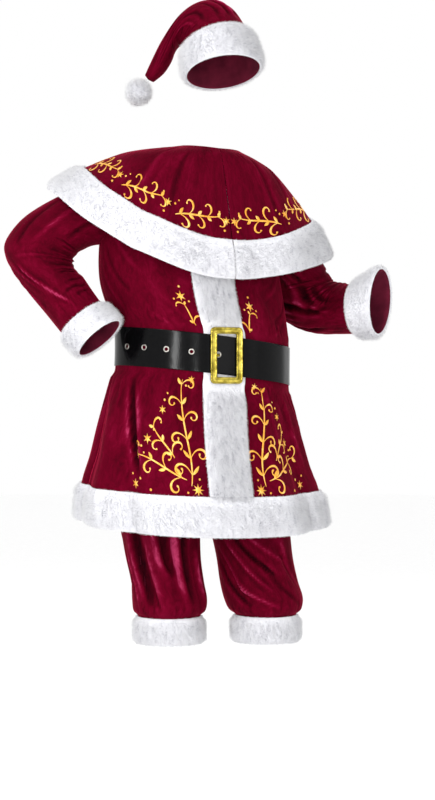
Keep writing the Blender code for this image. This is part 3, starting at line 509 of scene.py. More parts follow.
def wall_mesh(name, outer, inner, columns, closed, us, vs, ridge=None, tip=False, open_from=0):
    """A wall between two grids of points, with a UV map in metres and the face's side as material.

    us and vs are the lengths of the columns and rows. tip closes the last row in one point, and below
    the row open_from the first and last column meet.
    """
    rows = len(outer) // columns
    count = len(outer)
    front, column, row = grid_quads(rows, columns, closed)
    us = np.append(us, 2 * us[-1] - us[-2]) if closed else np.asarray(us)
    vs = np.asarray(vs)
    uv_front = np.stack((us[column], vs[row]), axis=-1)
    faces = [front, front[:, ::-1] + count]
    uvs = [uv_front, uv_front[:, ::-1]]

    def add_rim(row, column, turned):
        """Faces from the front to the back along the rows and columns of an edge."""
        at = row * columns + column % columns
        quads = np.stack((at[1:], at[:-1], count + at[:-1], count + at[1:]), axis=1)
        uv = np.stack((us[column], vs[row]), axis=-1)
        faces.append(quads[:, ::-1] if turned else quads)
        uv = np.stack((uv[1:], uv[:-1], uv[:-1], uv[1:]), axis=1)
        uvs.append(uv[:, ::-1] if turned else uv)

    along = np.arange(columns + 1 if closed else columns)
    add_rim(np.zeros(len(along), int), along, False)
    if not tip:
        add_rim(np.full(len(along), rows - 1), along, True)
    if not closed:
        up = np.arange(open_from, rows)
        add_rim(up, np.zeros(len(up), int), True)
        add_rim(up, np.full(len(up), columns - 1), False)
    faces = np.concatenate(faces)
    mesh = mesh_of(name, np.concatenate([outer, inner]), faces.tolist())
    layer = mesh.uv_layers.new(name="cloth")
    layer.data.foreach_set("uv", np.concatenate(uvs).astype(np.float32).ravel())
    sides = np.zeros(len(faces), np.int32)
    sides[len(front):2 * len(front)] = 1
    mesh.polygons.foreach_set("material_index", sides)
    # ridge carries the creases' painted highlight and painted shade into the velvet's colour.
    if ridge is not None:
        store(mesh, "ridge", "FLOAT", np.concatenate([ridge, ridge]))
    mesh.shade_smooth()
    if tip or open_from:
        bm = bmesh.new()
        bm.from_mesh(mesh)
        bmesh.ops.remove_doubles(bm, verts=bm.verts, dist=SAME_PLACE)
        bmesh.ops.dissolve_degenerate(bm, edges=bm.edges, dist=SAME_PLACE / 2)
        bm.to_mesh(mesh)
        bm.free()
    mesh.validate()
    return mesh


def over(surface):
    """A function that gives the surface's points moved out along its normal."""

    def place(u, v, out):
        return surface(u, v) + normal_of(surface, u, v) * np.reshape(out, (-1, 1))

    return place


def painted_crease_light(depth):
    """The painted highlight on a crease's ridge and the painted shade in its trough, as steps of the
    velvet's colour.
    """
    return np.clip(depth / PAINTED_HIGHLIGHT_RIDGE, -1.2, 1.3)


def cloth_piece(name, place, us, vs, metres_u, side, creases, closed=True, tip=False):
    """A velvet shell over a surface: its wall follows the creases, and has a nap side and a back.

    metres_u turns us into lengths, and the rows' lengths are measured at the angle side.
    """
    u, v = flat_grid(us, vs)
    depth = creases(u, v)
    outer = place(u, v, depth)
    inner = place(u, v, depth - VELVET)
    if tip:
        for layer in (outer, inner):
            layer[-len(us):] = outer[-len(us):].mean(axis=0)
    mesh = wall_mesh(name, outer, inner, len(us), closed, us * metres_u, lengths_up(place, side, vs),
                     painted_crease_light(depth), tip)
    face_out(mesh)
    return new_object(name, mesh, [finish("velvet"), finish("backing")])


def plug_object(name, place, us, vs, distance):
    """A closed solid of a tube or a body, capped at both ends, for cutting."""
    u, v = flat_grid(us, vs)
    points = place(u, v, np.full(len(u), 1.0) * distance(u, v))
    columns = len(us)
    ends = [points[:columns].mean(axis=0), points[-columns:].mean(axis=0)]
    count = len(points)
    faces = grid_quads(len(vs), columns, True)[0].tolist()
    for i in range(columns):
        k = (i + 1) % columns
        faces.append((i, k, count)[::-1])
        faces.append((count - columns + i, count - columns + k, count + 1))
    mesh = mesh_of(name, [*points, *ends], faces)
    face_out(mesh)
    return new_object(name, mesh, [])


def frozen(body):
    """Turn an object's modifiers into its plain mesh."""
    graph = bpy.context.evaluated_depsgraph_get()
    graph.update()
    mesh = bpy.data.meshes.new_from_object(body.evaluated_get(graph), depsgraph=graph)
    old = body.data
    body.modifiers.clear()
    body.data = mesh
    bpy.data.meshes.remove(old)
    mesh.name = body.name
    return body


def cut_away(body, *cutters):
    """Subtract cutters from a body and leave a plain mesh."""
    for cutter in cutters:
        change = body.modifiers.new(cutter.name, "BOOLEAN")
        change.operation = "DIFFERENCE"
        change.solver = "MANIFOLD"
        change.object = cutter
    return frozen(body)


def discard(cutters):
    for cutter in cutters:
        bpy.data.objects.remove(cutter)


def settle(body, slot, *nodes):
    """Let a finished piece ride on the suit's body, in place of the solids of its name or of nodes."""
    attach(body, "root")
    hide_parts(*(nodes or [body.name.removesuffix(DRESSED)]))


# ---- materials ----
MAKERS = {}                # how to make each material, by its short name
_made = {}


def hex_colour(text):
    """An sRGB hex value as linear red, green, blue and alpha."""
    values = [int(text[k:k + 2], 16) / 255 for k in (1, 3, 5)]
    return (*(c / 12.92 if c <= 0.04045 else ((c + 0.055) / 1.055) ** 2.4 for c in values), 1.0)


class Tree:
    """A node tree in the making."""

    def __init__(self, tree):
        self.tree = tree

    def add(self, kind, settings=None, **links):
        """Add a node. settings sets its properties; each link is an input's value or another's output."""
        node = self.tree.nodes.new(kind)
        for key, value in (settings or {}).items():
            setattr(node, key, value)
        for key, value in links.items():
            numbered = key[0] == "n" and key[1:].isdigit()
            socket = node.inputs[int(key[1:]) if numbered else key.replace("_", " ")]
            if isinstance(value, bpy.types.NodeSocket):
                self.tree.links.new(value, socket)
            else:
                socket.default_value = value
        return node

    def out(self, kind, settings=None, **links):
        """Add a node and give its first output."""
        return self.add(kind, settings, **links).outputs[0]

    def math(self, operation, *values):
        links = {f"n{k}": value for k, value in enumerate(values)}
        return self.out("ShaderNodeMath", {"operation": operation}, **links)

    def vector(self, operation, *values, **more):
        links = {f"n{k}": value for k, value in enumerate(values)}
        return self.out("ShaderNodeVectorMath", {"operation": operation}, **links, **more)

    def named(self, name, kind="FLOAT"):
        """An attribute of the mesh."""
        return self.out("GeometryNodeInputNamedAttribute", {"data_type": kind}, Name=name)

    def keep(self, geometry, name, value, domain="POINT"):
        """Store a number as an attribute of the mesh."""
        return self.out("GeometryNodeStoreNamedAttribute", {"data_type": "FLOAT", "domain": domain},
                        Geometry=geometry, Name=name, Value=value)

    def aim(self, way):
        """The rotation that turns +Z along a vector."""
        return self.out("FunctionNodeAlignRotationToVector", {"axis": "Z"}, Vector=way)


class Recipe(Tree):
    """A node material in the making, whose patterns lie in the object or on the cloth's UV map."""

    def __init__(self, name, on_cloth):
        self.made = bpy.data.materials.new(name)
        self.made.use_nodes = True
        super().__init__(self.made.node_tree)
        self.shader = self.tree.nodes["Principled BSDF"]
        self.place = (self.out("ShaderNodeUVMap", {"uv_map": "cloth"}) if on_cloth
                      else self.add("ShaderNodeTexCoord").outputs["Object"])

    def shade(self, name, socket):
        self.tree.links.new(socket, self.shader.inputs[name])

    def noise(self, scale, detail, place=None, **more):
        place = self.place if place is None else place
        return self.out("ShaderNodeTexNoise", Vector=place, Scale=scale, Detail=detail, **more)

    def attribute(self, name):
        return self.add("ShaderNodeAttribute", {"attribute_name": name}).outputs["Fac"]

    def total(self, *shares):
        """The sum of values, each times its share."""
        value = 0.0
        for part, share in shares:
            value = self.math("MULTIPLY_ADD", part, share, value)
        return value

    def colour(self, factor, *steps):
        """Colour the material through (place, hex colour) steps of a factor."""
        ramp = self.add("ShaderNodeValToRGB", Fac=factor)
        elements = ramp.color_ramp.elements
        while len(elements) < len(steps):
            elements.new(0.5)
        for element, (place, colour) in zip(elements, steps):
            element.position = place
            element.color = hex_colour(colour)
        self.shade("Base Color", ramp.outputs["Color"])

    def roughness(self, factor, low, high):
        self.shade("Roughness", self.out("ShaderNodeMapRange", Value=factor, n3=low, n4=high))

    def bump(self, *layers):
        """Lay bumps over one another, each as its height, strength and distance."""
        under = {}
        for height, strength, distance in layers:
            normal = self.out("ShaderNodeBump", Height=height, Strength=strength, Distance=distance, **under)
            under = {"Normal": normal}
        self.shade("Normal", normal)


def material(short, name, on_cloth=False, **shine):
    """Keep a function as the maker of a material, with the shader's own values as shine."""

    def keep(draw):
        def make():
            recipe = Recipe(name, on_cloth)
            for key, value in shine.items():
                value = hex_colour(value) if isinstance(value, str) else value
                recipe.shader.inputs[key.replace("_", " ")].default_value = value
            draw(recipe)
            return recipe.made

        MAKERS[short] = make
        return draw

    return keep


def finish(short):
    """The material of that short name, made when it is first asked for."""
    if short not in _made:
        _made[short] = MAKERS[short]()
    return _made[short]


@material("velvet", "polyester velvet", on_cloth=True, Roughness=0.85, Specular_IOR_Level=0.03,
          Sheen_Weight=0.55, Sheen_Roughness=0.30, Sheen_Tint="#D4204C")
def draw_velvet(recipe):
    """Polyester velvet, knitted and shorn: a deep red nap that glows where it is seen on edge.

    The nap is brushed and pressed in patches, so its colour wanders. Painted highlight pales the creases'
    ridges and painted shade darkens their troughs.
    """
    drawn = recipe.out("ShaderNodeMapping", Vector=recipe.place, Scale=(1.0, 0.55, 1.0))
    patches = recipe.noise(13.0, 3.0, drawn, Roughness=0.55, Distortion=0.8)
    brushed = recipe.noise(60.0, 3.0, drawn, Roughness=0.6, Distortion=1.6)
    pile = recipe.noise(700.0, 2.0)
    # The ridge share adds a painted highlight on the creases' ridges, up towards the ramp's pink top step,
    # and painted shade in their troughs.
    mixed = recipe.total((patches, 0.22), (brushed, 0.18), (pile, 0.15), (recipe.attribute("ridge"), 0.12))
    recipe.colour(mixed, (0.08, "#180005"), (0.21, "#42000F"), (0.285, "#570017"), (0.370, "#6C0424"),
                  (0.455, "#AC345C"))
    recipe.bump((brushed, 0.35, 0.0016), (pile, 0.30, 0.0005))


@material("backing", "knitted velvet backing", on_cloth=True, Roughness=0.95, Specular_IOR_Level=0.1)
def draw_backing(recipe):
    """The wrong side of knitted velvet: a matt, duller red with the fine rows of its knit."""
    rows = recipe.add("ShaderNodeTexWave", {"bands_direction": "X"}, Vector=recipe.place, Scale=160.0,
                      Distortion=0.6, Detail=1.0).outputs["Fac"]
    recipe.colour(recipe.total((recipe.noise(24.0, 4.0), 1.0), (rows, 0.3)), (0.3, "#3C0A1A"),
                  (0.9, "#6A1A30"))
    recipe.bump((rows, 0.4, 0.0004))


@material("fur", "acrylic faux fur", Roughness=0.75, Specular_IOR_Level=0.2, Sheen_Weight=0.4,
          Sheen_Roughness=0.5)
def draw_fur(recipe):
    """Acrylic long-pile fur, combed: white, with painted shade that greys it towards the hairs' roots and on
    the undercoat.
    """
    # The along share paints shade: grey at the hairs' roots and on the undercoat, white at their tips.
    mixed = recipe.total((recipe.attribute("along"), 1.0), (recipe.noise(70.0, 3.0, Distortion=0.6), 0.4),
                         (recipe.attribute("lock"), 2.0))
    recipe.colour(mixed, (0.0, "#B2B2BA"), (0.42, "#E0E0E4"), (0.80, "#EDEDF0"))


@material("foil", "stamped gold foil", Metallic=0.35, Roughness=0.5)
def draw_foil(recipe):
    """Hot-stamped gold foil: a thin bright film that takes the nap's fine unevenness."""
    crazed = recipe.noise(420.0, 3.0)
    recipe.colour(recipe.total((recipe.noise(60.0, 2.0), 1.0), (crazed, 0.5)), (0.45, "#D98A1E"),
                  (0.75, "#F0AE40"), (1.0, "#FFD27A"))
    recipe.bump((crazed, 0.5, 0.0003))


@material("vinyl", "black pvc", Specular_IOR_Level=0.11)
def draw_vinyl(recipe):
    """PVC-coated fabric: black, calendered smooth, with a soft gloss and a faint leather grain."""
    grain = recipe.add("ShaderNodeTexVoronoi", {"feature": "F1"}, Vector=recipe.place, Scale=520.0)
    scuffs = recipe.noise(90.0, 5.0, Distortion=1.0)
    recipe.colour(scuffs, (0.35, "#040405"), (0.65, "#070708"))
    recipe.roughness(scuffs, 0.12, 0.18)
    recipe.bump((recipe.noise(16.0, 2.0), 0.5, 0.002), (grain.outputs["Distance"], 0.12, 0.0004))


@material("brass", "polished brass plate", Metallic=1.0)
def draw_brass(recipe):
    """Brass plate on a cast buckle, polished: warm mirror streaks over slight casting waves."""
    waves = recipe.noise(70.0, 2.0)
    recipe.colour(waves, (0.35, "#7E6E22"), (0.65, "#C4B250"))
    recipe.roughness(recipe.noise(600.0, 2.0), 0.14, 0.26)
    recipe.bump((waves, 0.35, 0.0012))


@material("steel", "nickel-plated steel", Metallic=1.0)
def draw_steel(recipe):
    """Nickel plate on a pressed steel eyelet: a grey metal, lightly worn."""
    worn = recipe.noise(500.0, 3.0)
    recipe.colour(worn, (0.35, "#8F8C86"), (0.7, "#C4C0B8"))
    recipe.roughness(worn, 0.22, 0.38)


@material("paint", "matt white paint", Roughness=0.9)
def draw_paint(recipe):
    """Matt white studio paint: even, with a trace of roller texture."""
    recipe.colour(recipe.noise(30.0, 2.0), (0.3, "#FBFBFB"), (0.7, "#FEFEFE"))


# ---- coat ----
T_HEM = float(row_at(COAT, HEM_FUR_TOP))
T_NECK = len(COAT) - 1.0
PLACKET_TOP = 12.4         # the row of the coat's table where the fur strip ends, under the cape
YOKE = -0.030              # above this height, under the cape, the coat lies smooth
COAT_SIDE = 60             # the angle at which lengths up the coat are measured
COAT_M = math.radians(0.21)  # metres round the coat for each degree
SEAM = math.degrees(GAP / 2 / 0.2)  # half the gap at the coat's side seams, in degrees
SEAM_WIDTH, SEAM_DEPTH = 0.0035, 0.0009    # the furrow that a side seam draws in
SLEEVE_M = math.radians(0.075)
SLEEVE_ROW = 0.046         # metres along a sleeve for each row
TUBE_SIDE = 300            # the turn at which lengths along a sleeve and the hat are measured
UNDER_CUFF = 0.94          # the share of the fur cuff that the sleeve reaches under
ELBOW = 0.55               # where a sleeve bends, as a share of its length
TUCKS = 0.0011             # depth of the tucks inside a sleeve's bend
COAT_CREASES = read_table(
    Crease, AT_HEIGHTS,
    # the skirt's front, from the belt down
    (-62, -546, -47, -775, 6, 6.2, -13.5), (-56, -546, -42, -785, 6, 5.6, 2.2),
    (-72, -550, -70, -640, 0, 4, 2.2), (-80, -548, -86, -690, -4, 4.5, 2.6),
    (-90, -546, -98, -640, -4, 5, -3), (-78, -660, -84, -790, 3, 5, 2),
    (-30, -552, -24, -680, 4, 6, -2.2), (28, -548, 34, -700, -4, 5, 2.4),
    (37, -548, 50, -640, 2, 4.5, -2.6), (46, -550, 58, -770, -6, 5.5, 2.6),
    (60, -546, 74, -690, 4, 5, -3.4), (22, -690, 30, -790, 3, 7, 1.8),
    # the front above the belt
    (-74, -200, -40, -330, 14, 6, 2.2), (-80, -250, -52, -380, 10, 5.5, -2.6),
    (-84, -300, -62, -425, 8, 5, 2.2), (-48, -400, -30, -440, 3, 4.5, 2),
    (-34, -375, -20, -436, 2, 5, -1.8), (66, -230, 34, -350, -12, 6, 2.2),
    (76, -290, 44, -400, -10, 5, -2.6), (60, -380, 36, -438, -3, 4.5, 2),
    # the back, drawn in by the belt
    (128, -546, 124, -700, 6, 5.5, -3.4), (140, -548, 146, -760, -5, 6, 3),
    (158, -546, 152, -640, 0, 5, -2.8), (178, -548, 182, -740, 6, 6, 2.8),
    (200, -546, 206, -660, 0, 5, -3.2), (218, -548, 226, -770, 8, 6, 3),
    (240, -546, 240, -680, 0, 5.5, -3), (118, -200, 150, -350, -14, 7, -3),
    (112, -260, 140, -420, -10, 6, 2.6), (238, -180, 208, -340, 14, 7, -3),
    (246, -250, 218, -410, 10, 6, 2.6), (172, -240, 188, -300, 0, 8, -1.8),
)
COAT_FANS = read_table(
    Fan, FANS_AT_HEIGHTS,
    (-112, -545, -20, -545, -6, -95, 17, 3.4, -2.2, 11), (20, -545, 112, -545, 6, -95, 17, 3.4, -2.2, 12),
    (112, -545, 248, -545, 0, -110, 24, 3.8, -2.4, 13), (-112, -439, -22, -439, -4, 60, 14, 3.4, -1.8, 14),
    (22, -439, 112, -439, 4, 60, 14, 3.4, -1.8, 15), (112, -439, 248, -439, 0, 75, 20, 3.8, -2, 16),
    (-100, -790, -26, -790, 3, 70, 9, 4, -1.4, 17), (26, -790, 100, -790, -3, 70, 9, 4, -1.4, 18),
)


def coat_creases(settings):
    """The depth of the coat's creases at angles and rows, calm where something is sewn or worn on it."""
    creases = crumple(settings, COAT_CREASES, COAT_FANS, COAT_M, 1.0)

    def depth(u, v):
        level = spline(COAT, v)
        z, half_width = level[:, 0], level[:, 3]
        total = creases(u, z)
        front = (u + 180) % 360 - 180
        placket = np.degrees(PLACKET_WIDTH / 2 / half_width)
        below_yoke = smooth((YOKE - z) / 0.030)
        total *= smooth((np.abs(z - BELT_LEVEL) - BELT_WIDTH / 2 - 0.003) / 0.022)
        total *= smooth((z - HEM_FUR_TOP) / 0.012) * below_yoke
        total *= smooth((np.abs(front) - placket - 0.5) / 4.0)
        seam = (np.abs(front) - 90) * COAT_M / SEAM_WIDTH
        return total - SEAM_DEPTH * np.exp(-(seam**2)) * below_yoke

    return depth


def make_coat_panels(settings):
    """The two fronts and the back, a hair apart at the side seams."""
    place = over(coat_point)
    depth = coat_creases(settings)
    vs = even_rows(place, COAT_SIDE, 0.25, T_NECK)
    panels = {}
    for name, first, last in (("coat_front_right", -90, 0), ("coat_front_left", 0, 90),
                              ("coat_back", 90, 270)):
        count = round((last - first) * COAT_M / CLOTH_GRID)
        us = np.linspace(first + SEAM, last - SEAM, count + 1)
        panels[name] = cloth_piece(name, place, us, vs, COAT_M, COAT_SIDE, depth, closed=False)
    torso = plug_object("torso", place, all_round(180, -180),
                        even_rows(place, COAT_SIDE, 3.0, T_NECK, 0.012),
                        lambda u, v: depth(u, v) + GAP)
    return panels, torso


SLEEVE_RIGHT_CREASES = read_table(
    Crease, AT_ROWS,
    # turn 180 is the inner side of the arm's bend, 270 faces the front, 0 is the outer side
    (316, 6.2, 256, 9.7, 10, 5.2, 7.6), (332, 6.2, 270, 9.4, 8, 4.8, 6.8),
    (352, 5.8, 318, 9.7, 8, 4.6, 4), (322, 6.6, 264, 9.6, 10, 4, -4),
    (330, 2, 300, 5.4, -8, 6, -4.2), (300, 1.4, 272, 4.6, -10, 6, 3.7),
    (262, 1.2, 236, 3.6, -6, 5.5, -4.2), (10, 3.6, 350, 6.6, 6, 6, 3.2),
    (30, 5, 60, 9.6, 8, 5.5, 4.2), (62, 2, 84, 6, 10, 6, -4.2),
    (100, 5.8, 108, 9.6, 8, 5, 3.5),
)
SLEEVE_RIGHT_FANS = read_table(
    Fan, FANS_AT_ROWS,
    (196, 3.4, 200, 9.2, 74, 0.2, 22, 3.6, -4.2, 21), (164, 3.4, 160, 9.2, -74, 0.2, 18, 3.6, -4.2, 22),
    (200, 9.9, 340, 9.9, 0, -1.3, 9, 4, -2, 23), (20, 9.9, 160, 9.9, 0, -1.3, 9, 4, -2, 24),
    (200, 0.6, 350, 0.6, 0, 1.6, 10, 4.2, -2.2, 25),
)
SLEEVE_LEFT_CREASES = read_table(
    Crease, AT_ROWS,
    (300, 2.4, 262, 5.2, 10, 8.5, -11.5), (318, 2.8, 284, 6, 10, 5.5, 6),
    (338, 3.4, 306, 7.2, 8, 8, -10), (270, 1, 244, 3.6, -8, 5.5, 4.5),
    (250, 0.8, 224, 2.8, -8, 7, -8.5), (240, 4.2, 266, 7.4, 6, 5, 5.2),
    (356, 3.2, 336, 7.6, 8, 5.5, 3.7), (310, 1, 288, 2.9, 6, 6, 3.7),
    (230, 2.8, 262, 5.8, -8, 8.5, -10.5), (278, 3.8, 254, 6.8, 6, 8, -9.5),
    (212, 3.4, 238, 6.6, 6, 7, -8), (20, 2.6, 60, 7.2, 10, 6, 4.5),
    (56, 1.2, 96, 5.8, 10, 6, -5.2), (110, 3.6, 124, 7.4, 6, 5, 3.7),
)
SLEEVE_LEFT_FANS = read_table(
    Fan, FANS_AT_ROWS,
    (196, 1.6, 200, 6.6, 66, 0.2, 15, 3.8, -4.4, 31), (164, 1.6, 160, 6.6, -66, 0.2, 15, 3.8, -4.4, 32),
    (200, 7.9, 340, 7.9, 0, -1.1, 8, 4.2, -2.2, 33), (20, 7.9, 160, 7.9, 0, -1.1, 8, 4.2, -2.2, 34),
)


Sleeve = namedtuple("Sleeve", "table cuff across creases fans")
SLEEVES = {
    "right": Sleeve(SLEEVE_RIGHT, CUFF_RIGHT, ACROSS_RIGHT, SLEEVE_RIGHT_CREASES, SLEEVE_RIGHT_FANS),
    "left": Sleeve(SLEEVE_LEFT, CUFF_LEFT, ACROSS_LEFT, SLEEVE_LEFT_CREASES, SLEEVE_LEFT_FANS),
}


def sleeve_surface(sleeve):
    """Points of a sleeve and its cuff, `out` beyond the wall."""
    rows = [*sleeve.table, sleeve.cuff]

    def place(u, v, out):
        return ring_point(sleeve_section(rows, sleeve.across, v), u, out)

    return place


def make_sleeve(side, settings, torso):
    """A sleeve, trimmed to the coat's side, and the cutter of its armhole."""
    sleeve = SLEEVES[side]
    place = sleeve_surface(sleeve)
    fur_start = len(sleeve.table) - 1.0
    bend = ELBOW * fur_start
    creases = crumple(settings, sleeve.creases, sleeve.fans, SLEEVE_M, SLEEVE_ROW)

    def depth(u, v):
        inside = smooth((100 - np.abs(u % 360 - 180)) / 70)
        near = smooth(1.6 - np.abs(v - bend) / 2.0)
        tucks = -TUCKS * inside * near * (1 - np.cos(2 * np.pi * v))
        return (tucks + creases(u, v)) * smooth((fur_start - v) / 0.35)

    us = all_round(82)
    vs = even_rows(place, TUBE_SIDE, 0.0, fur_start + UNDER_CUFF)
    body = cloth_piece("sleeve_" + side, place, us, vs, SLEEVE_M, TUBE_SIDE, depth)
    hole = plug_object("armhole_" + side, place, us, np.linspace(0, 2.6, 14),
                       lambda u, v: depth(u, v) - VELVET)
    return cut_away(body, torso), hole


def make_coat(settings):
    """Fronts, back and sleeves, joined round the armholes."""
    panels, torso = make_coat_panels(settings)
    right, right_hole = make_sleeve("right", settings, torso)
    left, left_hole = make_sleeve("left", settings, torso)
    cut_away(panels["coat_front_right"], right_hole)
    cut_away(panels["coat_front_left"], left_hole)
    cut_away(panels["coat_back"], right_hole, left_hole)
    discard((torso, right_hole, left_hole))
    for body in (*panels.values(), right, left):
        settle(body, "velvet")


# ---- shoulder cape ----
CAPE_M = math.radians(0.24)
CAPE_CREASES = read_table(
    Crease, AT_ROWS,
    (-40, 2.5, -46, 1.1, 6, 8, -3), (-62, 2.4, -66, 1.2, -5, 8, 2.8),
    (-100, 2.3, -108, 1.1, 6, 9, -3), (-128, 2.4, -132, 1.1, 4, 8, 2.8),
    (38, 2.5, 44, 1.1, -6, 8, -3), (60, 2.4, 66, 1.2, 5, 8, 2.8),
    (98, 2.3, 106, 1.1, -6, 9, -3), (140, 2.4, 146, 1.1, 4, 8, -2.8),
    (176, 2.3, 172, 1.1, 4, 9, 2.8), (200, 2.4, 206, 1.1, 4, 8, -2.8),
)
CAPE_FANS = read_table(Fan, FANS_AT_ROWS, (14, 2.8, 346, 2.8, 0, -0.9, 34, 4.5, -1.8, 41))
CAPE_ROW = 0.09
CAPE_SIDE = 270
CAPE_SLIT = math.degrees(CAPE_OPENING / 2 / 0.12)  # half the opening, in degrees round the neck


def make_cape(settings):
    """The shoulder cape: one piece whose front edges meet."""
    place = over(cape_point)
    creases = crumple(settings, CAPE_CREASES, CAPE_FANS, CAPE_M, CAPE_ROW)

    def depth(u, v):
        """Calm at the neckline and under the fur edge."""
        return smooth((2.85 - v) / 0.3) * smooth((v - 0.95) / 0.25) * creases(u, v)

    us = np.linspace(CAPE_SLIT, 360 - CAPE_SLIT, 250)
    vs = even_rows(place, CAPE_SIDE, 0.08, 3.0)
    body = cloth_piece("cape", place, us, vs, CAPE_M, CAPE_SIDE, depth, closed=False)
    settle(body, "velvet")


# ---- trousers ----
LEG_M = math.radians(0.1)
LEG_COLUMNS = 110
WAIST_LOW, WAIST_HIGH = -0.5125, -0.472
GATHERS = 0.0004           # half the depth of the waistband's gathers
LEG_RIGHT_CREASES = read_table(
    Crease, AT_HEIGHTS,
    (-62, -862, -44, -1096, 12, 12, -13), (-18, -858, -4, -1020, 10, 12, -14),
    (16, -872, 24, -1092, 8, 11, -12), (-42, -890, -26, -1084, 12, 9, 2.4),
    (0, -880, 6, -1060, 8, 7, 2), (-86, -930, -68, -1100, 6, 5.5, 4.4),
    (42, -930, 54, -1090, 6, 6, 5), (-44, -1030, -30, -1100, 4, 4.5, -4),
    (100, -890, 116, -1090, 10, 9, -9), (140, -880, 156, -1090, 10, 8, 6),
    (-150, -880, -134, -1090, 10, 9, -9), (-104, -900, -96, -1080, 10, 7, -5.6),
)
LEG_LEFT_CREASES = read_table(
    Crease, AT_HEIGHTS,
    (-76, -890, 6, -1060, 14, 5.5, 5.5), (-64, -886, 24, -1030, 14, 5.5, -6.1),
    (-84, -930, -20, -1085, 14, 5.5, 4.9), (-92, -960, -34, -1094, 12, 5.5, -5.8),
    (-50, -880, 40, -990, 12, 6, 3.8), (-70, -1010, 10, -1094, 8, 5, 4.6),
    (-20, -960, 46, -1090, 10, 6, -4.1), (20, -900, 60, -1060, 8, 6, 3.8),
    (100, -900, 116, -1090, 10, 7, -6.4), (140, -890, 156, -1090, 10, 7, 5.8),
    (-150, -890, -134, -1090, 10, 7, -6.4),
)
LEG_FANS = read_table(
    Fan, FANS_AT_HEIGHTS,
    (-176, -1108, 176, -1108, 0, 42, 24, 4, -3, 51), (-176, -740, 176, -740, 0, -200, 9, 8, -2.6, 52),
)


Leg = namedtuple("Leg", "table folds creases sign")
LEGS = {
    "right": Leg(LEG_RIGHT, LEG_RIGHT_FOLDS, LEG_RIGHT_CREASES, -1),
    "left": Leg(LEG_LEFT, LEG_LEFT_FOLDS, LEG_LEFT_CREASES, 1),
}


def make_leg(side, settings):
    """A leg that is a full ring below the crotch and half of the seat above it."""
    name = "trouser_leg_" + side
    table, _folds, creases, sign = LEGS[side]

    def surface(u, v):
        return leg_point(LEGS[side], u, v)

    place = over(surface)
    creases = crumple(settings, creases, LEG_FANS, LEG_M, 1.0)
    low = float(row_at(table, LEG_FUR_BOTTOM + 0.045))    # the leg ends inside its fur cuff
    crotch = float(table.index(next(row for row in table if row.z == CROTCH)))
    lower = even_rows(place, 0, low, crotch)
    upper = even_rows(place, 0, crotch, len(table) - 1.0, 2 * CLOTH_GRID)[1:]
    vs = np.concatenate([lower, upper])
    level = spline(table, vs)
    share = (np.abs(level[:, 1] - SEAT_X) - GAP / 2) / level[:, 3]
    reach = np.where(vs > crotch, np.degrees(np.arccos(np.clip(-share, -1, 1))), 180.0)
    count = LEG_COLUMNS + 1
    spread = np.linspace(-1, 1, count)
    u = (90 * sign + np.outer(reach, spread)).ravel()
    v = np.repeat(vs, count)
    z = spline(table, v)[:, 0]
    depth = creases(u, z) * smooth((z - LEG_FUR_TOP + 0.002) / 0.010)
    normal = normal_of(surface, u, v)
    points = surface(u, v)
    outer = points + normal * depth[:, None]
    inner = outer - normal * VELVET
    centre = SEAT_X + sign * GAP / 2
    for layer in (outer, inner):
        rows = layer.reshape(len(vs), count, 3)
        rows[vs <= crotch, -1] = rows[vs <= crotch, 0]
        seat = rows[vs > crotch]
        seat[:, (0, -1), 0] = centre
        seat[..., 0] = np.where(sign * (seat[..., 0] - SEAT_X) < GAP / 2, centre, seat[..., 0])
        rows[vs > crotch] = seat
    mesh = wall_mesh(name, outer, inner, count, False, 90 * LEG_M * (spread + 1) * 2,
                     lengths_up(place, 0, vs), painted_crease_light(depth), open_from=len(lower) - 1)
    face_out(mesh)
    body = new_object(name, mesh, [finish("velvet"), finish("backing")])
    settle(body, "velvet")


def make_trousers(settings):
    """Both legs, and the waistband that they hang from under the coat."""
    for side in LEGS:
        make_leg(side, settings)
    under = VELVET + LAID

    def place(u, v, out):
        return over(coat_point)(u, v, out - under)

    us = all_round(240, -180)
    vs = np.linspace(*row_at(COAT, (WAIST_LOW, WAIST_HIGH)), 9)
    body = cloth_piece("waistband", place, us, vs, COAT_M, 0,
                       lambda u, _v: -GATHERS * (1 - np.cos(np.radians(45 * u))))
    settle(body, "velvet")


# ---- hat ----
HAT_M = math.radians(0.08)
HAT_ROW = 0.05
HAT_CREASES = read_table(
    Crease, AT_ROWS,
    # turn 0 is the outer side of the hat's bend, 180 its inner side, 270 faces the front
    (300, 2.4, 316, 4.6, 6, 6, -4.6), (322, 2.3, 330, 5, 6, 5.5, -4.2),
    (278, 2.5, 296, 5.4, 8, 6, -4), (311, 2.4, 322, 5.2, 6, 5.5, 3.6),
    (252, 2.8, 268, 6.6, 8, 6, -4), (232, 3, 238, 7.4, 6, 5.5, 3.6),
    (342, 2.6, 344, 6.6, 6, 7, 3.6), (288, 5.4, 278, 9.4, 8, 5, 3.4),
    (312, 5.8, 300, 9.4, 6, 4.5, -3.4), (262, 6, 256, 9.4, 6, 4.5, -3),
    (20, 2.6, 34, 7, 8, 7, -4), (60, 2.6, 70, 7.6, 8, 7, 3.6),
    (96, 2.8, 98, 8.2, 8, 6, -3.6),
)
HAT_FANS = read_table(
    Fan, FANS_AT_ROWS,
    (196, 3, 196, 7.6, 58, 0.2, 14, 3.6, -3.4, 61), (164, 3, 164, 7.6, -58, 0.2, 14, 3.6, -3.4, 62),
    (200, 2.1, 520, 2.1, 0, 0.8, 24, 4.2, -2.4, 63),
)


def hat_surface(u, v, out):
    return ring_point(hat_section(v), u, out)


